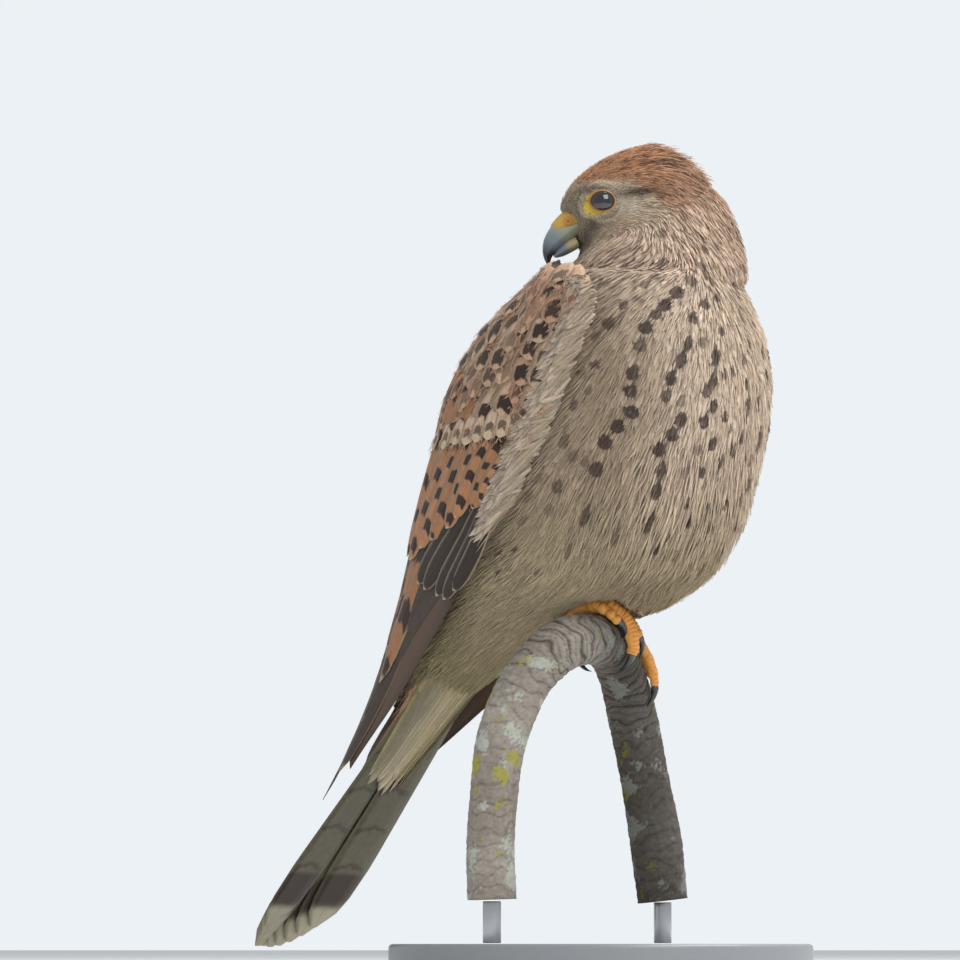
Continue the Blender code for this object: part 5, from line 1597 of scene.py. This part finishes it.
for foot_number, (foot, toes, stand_at) in enumerate(FEET):
    middle, up, ahead, radius = branch_frame(stand_at)
    root = middle + up * (radius + TOE_RADIUS + 1.2) - ahead * 2.0
    shank_path = spread([root + (0, 0, 15) - ahead * 5, root + (0, 0, 7) - ahead * 2, root, root - up * 1.5], 40)
    shank_radii = np.interp(np.linspace(0, 1, 40), (0, 0.4, 0.7, 0.9, 1), (2.5, 2.4, 2.9, 3.3, 2.4))
    data, tints = scaled_toe(shank_path, shank_radii, 0.0, 1.6)
    finished(f"shank_{foot}", data, (0.3 + 0.25 * foot_number, 0.6), TOE_FINISH, "skin", tints, f"leg_{foot}")
    for toe_number, (stops, share) in enumerate(toes):
        path = grip_path(stops, TOE_RADIUS * share + 0.2, 90)
        path[:12] = mix(root, path[12], (np.arange(12) / 12)[:, None])
        path[1:-1] = (path[:-2] + path[1:-1] * 2 + path[2:]) / 4
        along = np.linspace(0, 8, 90)
        radii = TOE_RADIUS * share * (1.05 - 0.03 * along + 0.05 * np.cos(3.1 * along))
        radii[-6:] *= np.linspace(1, 0.72, 6)
        data, tints = scaled_toe(path, radii, 1.0, 1.45)
        finished(f"toe_{foot}_{toe_number + 1}", data, (0.02 + 0.1 * toe_number, 0.7), TOE_FINISH, "skin", tints)
        claw_path, claw_radii = claw_shape(path, radii[-1])
        data = tube(claw_path, claw_radii, 24)
        share_along = data[2][:, 1:]
        finished(f"claw_{foot}_{toe_number + 1}_horn", data, (0.5 + 0.1 * toe_number, 0.3), CLAW_FINISH, "horn",
                 mix(CLAW_GREY, CLAW_BLACK, ramp(share_along, 0.0, 0.3)), f"claw_{foot}_{toe_number + 1}")

# Stand

# Sprayed lacquer with a satin gloss, and brushed steel with a soft shine
STAND_FINISH, _, _ = material("satin_lacquered_metal", Base_Color=rgba("#8E9093"), Roughness=0.42, Metallic=0.0,
                              Coat_Weight=0.15)
ROD_FINISH, _, _ = material("brushed_steel", Base_Color=rgba("#B9BBBE"), Roughness=0.28, Metallic=1.0)


def stand_piece(name, radius, bottom, top, x, y, sides, edge, finish):
    """A round piece of the stand with softened edges, made from a cylinder."""
    bpy.ops.object.select_all(action="DESELECT")
    bpy.ops.mesh.primitive_cylinder_add(vertices=sides, radius=radius * MM, depth=(top - bottom) * MM,
                                        location=(x * MM, y * MM, (top + bottom) / 2 * MM))
    thing = bpy.context.active_object
    thing.name = thing.data.name = f"{name}_finished"
    bpy.ops.object.transform_apply(location=True, rotation=False, scale=False)
    bevel = thing.modifiers.new("edge", "BEVEL")
    bevel.width = edge * MM
    bevel.segments = 4
    bevel.limit_method = "ANGLE"
    bpy.ops.object.modifier_apply(modifier="edge")
    unwrap(thing, 66, 0.01)
    thing.data.shade_smooth()
    thing.data.set_sharp_from_angle(angle=math.radians(40))
    thing.data.materials.append(finish)
    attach(thing, "root")
    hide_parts(name)
    return thing


stand_piece("stand_base", 76, 0, 12, 0, 0, 160, 1.5, STAND_FINISH)
for rod, row in (("stand_rod_near", BRANCH_ROWS[0]), ("stand_rod_far", BRANCH_ROWS[-1])):
    stand_piece(rod, 3.2, 12.3, row[2] - 0.6, row[0], row[1], 40, 0.3, ROD_FINISH)

# Bill

BILL_ROWS = (
    (6, -5, -38, 5.6, 5.6), (9.6, -7.2, -40, 5.3, 5.3), (13, -10, -46, 4.6, 4.6), (15.9, -13.6, -62, 3.7, 3.6),
    (17.4, -16.8, -80, 2.4, 2.4), (17.8, -19.4, -94, 1.3, 1.2), (17.4, -22, -102, 0.35, 0.3),
)
MOUTH_ROWS = (
    (7.6, -13.2, -30, 2.6, 4), (10.5, -15, -34, 2.5, 3.6), (13.2, -16.8, -38, 2, 2.8), (15.4, -18.3, -40, 0.9, 1.5),
)
NOSTRIL = np.array((11.2, 4.6, -6.3))
CERE_END = 0.37


def bill_piece(rows, count, around, profile, swell=lambda share: 1.0):
    """Rings along the bill in the head's frame. The profile turns angle and share into (width, height) shares."""
    points, shares = [], []
    turn = np.linspace(0, 2 * math.pi, around, endpoint=False)
    for i in range(count):
        share = i / (count - 1)
        p, r, slope, half_height, half_width = spread_at(rows, share)
        slope = math.radians(slope)
        wide, tall = profile(turn, share)
        grow = swell(share)
        over = np.array((-math.sin(slope), 0, math.cos(slope)))
        points.append(np.array((p, 0, r)) + np.outer(wide * half_width * grow, (0, 1, 0))
                      + np.outer(tall * half_height * grow, over))
        shares.append(np.full(around, share))
    rings = np.array(points)
    flat = np.concatenate((rings.reshape(-1, 3), rings[:1].mean(axis=1), rings[-1:].mean(axis=1)))
    shares = np.concatenate((np.concatenate(shares), (0, 1)))
    angle = np.concatenate((np.tile(turn, count), (0, 0)))
    return flat, ring_faces(count, around, True), np.stack((angle / (2 * math.pi), shares), axis=-1)


def upper_profile(turn, share):
    """Rounded ridge above, straight cutting edge below with a small tooth near the hook."""
    wide = np.sign(np.cos(turn)) * np.abs(np.cos(turn)) ** 0.9
    tall = np.sin(turn) * np.where(np.sin(turn) > 0, 1.0, 0.85)
    tooth = np.exp(-((share - 0.62) / 0.035) ** 2) - 0.8 * np.exp(-((share - 0.72) / 0.04) ** 2)
    edge = np.exp(-((np.sin(turn) + 0.55) / 0.3) ** 2)
    return wide, tall - 0.16 * tooth * edge


def round_profile(turn, share):
    return np.cos(turn), np.sin(turn) * np.where(np.sin(turn) > 0, 1.0, 0.85)


def cere_profile(turn, share):
    """Like the round one, but below the horn's surface on the lower half, so that the cere ends half way down."""
    sink = 1 - 0.11 * ramp(-np.sin(turn) + 0.9 * share, 0.30, 0.55)
    wide, tall = round_profile(turn, share)
    return wide * sink, tall * sink


HORN_BLUE, HORN_BLACK, HORN_YELLOW = linear("#7B858D"), linear("#17191C"), linear("#C9B98A")
HORN_PALE = linear("#A3A890")
CERE_YELLOW, CERE_ORANGE, NOSTRIL_SHADE = linear("#C9A04C"), linear("#CF8030"), linear("#3A2A18")
# Smooth horn with a shine, and the softer waxy skin of the cere
HORN_FINISH = tinted_material("polished_bill_horn", 0.22, 0.06, 260.0, 0.00003, Specular_IOR_Level=0.5,
                              Coat_Weight=0.25)
CERE_FINISH = tinted_material("waxy_cere_skin", 0.5, 0.10, 1500.0, 0.00006, Subsurface_Weight=0.1)

points, quads, uv = bill_piece(BILL_ROWS, 80, 64, upper_profile)
tints = mix(mix(HORN_PALE, HORN_BLUE, ramp(uv[:, 1:], 0.28, 0.48)), HORN_BLACK, ramp(uv[:, 1:], 0.46, 0.78))
finished("bill_upper_horn", (skull(*points.T), quads, uv), (0.05, 0.05), HORN_FINISH, "horn", tints, "bill_upper")
points, quads, uv = bill_piece(MOUTH_ROWS, 40, 48, round_profile)
tints = mix(HORN_YELLOW, HORN_BLUE, ramp(uv[:, 1:], 0.15, 0.6))
finished("bill_lower_horn", (skull(*points.T), quads, uv), (0.3, 0.05), HORN_FINISH, "horn", tints, "bill_lower")

cere_rows = [tuple(spread_at(BILL_ROWS, CERE_END * i / 8)) for i in range(9)]
points, quads, uv = bill_piece(cere_rows, 70, 96, cere_profile,
                               lambda share: 1.075 * (1 - 0.10 * ramp(share, 0.9, 1.0)))
hole = points
for side in (1, -1):
    reach = np.linalg.norm(hole - NOSTRIL * (1, side, 1), axis=1)
    inward = np.array((0, -side, 0.0))
    sink = 0.75 * np.exp(-(reach / 0.85) ** 4) - 0.22 * np.exp(-((reach - 1.35) / 0.4) ** 2)
    points = points + inward * sink[:, None] - inward * (0.5 * np.exp(-(reach / 0.36) ** 2))[:, None]
reach = np.minimum(*(np.linalg.norm(hole - NOSTRIL * (1, side, 1), axis=1) for side in (1, -1)))
tints = mix(CERE_YELLOW, CERE_ORANGE, np.exp(-((reach - 1.5) / 0.7) ** 2)[:, None] * 0.8)
# the nostril's hollow painted dark round its lighter knob: painted shade in the hole
tints = mix(tints, NOSTRIL_SHADE, (np.exp(-(reach / 0.85) ** 4) - 0.75 * np.exp(-(reach / 0.36) ** 2))[:, None])
finished("cere_skin", (skull(*points.T), quads, uv), (0.55, 0.05), CERE_FINISH, "skin", tints, "cere")

# Eyes

EYE_RADIUS = 6.2
LID_FEATHERS = 1500
IRIS_BROWN, PUPIL_BLACK = linear("#2A1B14"), linear("#060506")
LID_YELLOW, LID_ORANGE, LID_DARK = linear("#CFAE3E"), linear("#B0702C"), linear("#2B211A")
# An eye always wet, with sharp highlights, and dull bare skin round it
EYE_FINISH = tinted_material("wet_eye", 0.05, 0.05, 600.0, 0.00001, Specular_IOR_Level=0.6, Coat_Weight=1.0)
LID_FINISH = tinted_material("bare_eyelid_skin", 0.5, 0.14, 1600.0, 0.00012, Subsurface_Weight=0.1)


def eye_frame(side):
    place = skull(0, side * 10.3, 0)
    look = unit(turned((0.12, side, 0.02), HEAD_HEADING))
    front = turned((1, 0, 0), HEAD_HEADING)
    front = unit(front - look * (front * look).sum())
    up = np.cross(look, front) * side
    return place, look, front, up if up[2] > 0 else -up


def make_eye(side, name):
    place, look, front, up = eye_frame(side)
    rings, around = 40, 64
    polar = np.linspace(0.02, math.pi - 0.02, rings)
    turn = np.linspace(0, 2 * math.pi, around, endpoint=False)
    bulge = EYE_RADIUS + 0.25 * np.exp(-(polar / 0.5) ** 2)
    points = (place + (np.cos(polar) * bulge)[:, None, None] * look
              + (np.sin(polar) * bulge)[:, None, None] * (np.cos(turn)[:, None] * front + np.sin(turn)[:, None] * up))
    flat = np.concatenate((points.reshape(-1, 3), points[:1].mean(axis=1), points[-1:].mean(axis=1)))
    quads = ring_faces(rings, around, side > 0)
    polar_share = np.concatenate((np.repeat(polar, around), (0, math.pi))) / math.pi
    uv = np.stack((np.concatenate((np.tile(turn, rings), (0, 0))) / (2 * math.pi), polar_share), axis=-1)
    tints = mix(PUPIL_BLACK, IRIS_BROWN, ramp(polar_share * math.pi, 0.40, 0.47)[:, None])
    finished(f"{name}_ball", (flat, quads, uv), (0.1, 0.1), EYE_FINISH, "eye", tints, name)


def lid_points(side, angle, reach):
    """Places on the lids at an angle and distance from the middle of the eye, with the way outward there."""
    place, look, front, up = eye_frame(side)
    direction = np.cos(angle)[..., None] * front + np.sin(angle)[..., None] * up
    rim = opening(angle)
    ball = np.sqrt(np.maximum(EYE_RADIUS ** 2 - np.minimum(reach, EYE_RADIUS - 0.5) ** 2, 0))
    past = np.maximum(reach - rim, 0)
    wrinkle = 0.09 * np.sin(past * 5.2) * ramp(past, 0.5, 1.5) + 0.04 * np.sin(angle * 31)
    rise = 0.50 * ramp(past, -0.2, 0.7) + 0.22 * np.exp(-((past - 0.25) / 0.3) ** 2)
    fall = 0.22 * np.maximum(reach - 4.4, 0) * (0.7 + 0.5 * np.maximum(np.cos(angle), 0))
    height = np.maximum(ball, 3.4) + rise + wrinkle * 0.5 - fall
    point = place + direction * reach[..., None] + look * height[..., None]
    return point, unit(direction * 0.35 + look), direction


def make_lids(side, name):
    """A soft ring of bare skin, from inside the opening out under the feathers, and the small feathers on it."""
    place, look, front, up = eye_frame(side)
    around, across = 140, 24
    angle, share = np.meshgrid(np.arange(around) * 2 * math.pi / around, np.arange(across) / across, indexing="ij")
    wide = np.maximum(bare_reach(angle) + 0.3, LID_COVER)
    rim = opening(angle)
    over = np.clip(share / 0.7, 0, 1)
    points, _, direction = lid_points(side, angle, rim - 0.1 + over * wide)
    t = np.clip((share - 0.7) / 0.3, 0, 1)[..., None]
    reach = mix(rim - 0.1 + wide, rim + 0.2, t[..., 0])
    under = place + direction * reach[..., None] + look * (2.2 - 0.9 * np.sin(math.pi * t))
    points = np.where(share[..., None] <= 0.7, points, under).reshape(-1, 3)
    past = (over * wide - 0.1).ravel()
    tint = mix(LID_ORANGE, LID_YELLOW, ramp(past, 0.35, 1.0)[:, None])
    tint = mix(tint, LID_DARK, 0.85 * ramp(-past, -0.22, -0.05)[:, None])
    feathered = ramp(past - bare_reach(angle).ravel(), -0.25, 0.1)[:, None]
    # where feathers cover the lid, the coat's tint darkened to 0.7: painted shade under the feathers
    tint = mix(tint, skin_tint(points) * 0.7, feathered)
    i, j = np.meshgrid(np.arange(around), np.arange(across), indexing="ij")
    a, b = i * across, ((i + 1) % around) * across
    k = (j + 1) % across
    quads = np.stack((a + j, a + k, b + k, b + j), axis=-1).reshape(-1, 4)
    if side > 0:
        quads = quads[:, ::-1]
    uv = np.stack((angle.ravel() / (2 * math.pi), share.ravel()), axis=-1)
    finished(f"{name}_lids", (points, quads, uv), (0.6, 0.6), LID_FINISH, "skin", tint)
    count = LID_FEATHERS
    angle = rng.uniform(-math.pi, math.pi, count)
    outer = np.maximum(bare_reach(angle) + 0.6, LID_COVER + 0.5)
    reach = opening(angle) + mix(bare_reach(angle) * 0.92, outer, rng.random(count))
    root, out, direction = lid_points(side, angle, reach)
    back = -front
    way = unit(direction * 0.75 + back * 0.75 + up * 0.1 + rng.normal(0, 0.10, (count, 3)))
    way = unit(way - out * dot(way, out))
    steps = np.linspace(0, 1, 5)
    length = rng.uniform(1.5, 2.6, count) * mix(1.0, 0.55, ramp(np.cos(angle), 0.3, 0.9))
    path = root[:, None] + way[:, None] * (length[:, None] * steps)[..., None]
    path = path + out[:, None] * (-0.15 + 0.75 * steps - 0.7 * steps ** 2)[:, None]
    tints = skin_tint(path) * rng.uniform(0.55, 1.0, (count, 1, 1))
    half = np.outer(rng.uniform(0.12, 0.2, count), (0.7, 1, 0.9, 0.6, 0.06))
    data = dict(path=path, out=np.repeat(out[:, None], 5, axis=1), half=half,
                thick=np.full((count, 5), 0.06), tint=tints, dark=tints, marks=np.zeros_like(tints),
                bake=np.stack((0.62 + 0.18 * angle / math.pi, 0.9 + 0.05 * rng.random(count)), axis=-1))
    build_feathers(f"{name}_lid_feathers", data, HAIR, 0.0, PLUMAGE)


for side, name in ((1, "eye_left"), (-1, "eye_right")):
    make_eye(side, name)
    make_lids(side, name)
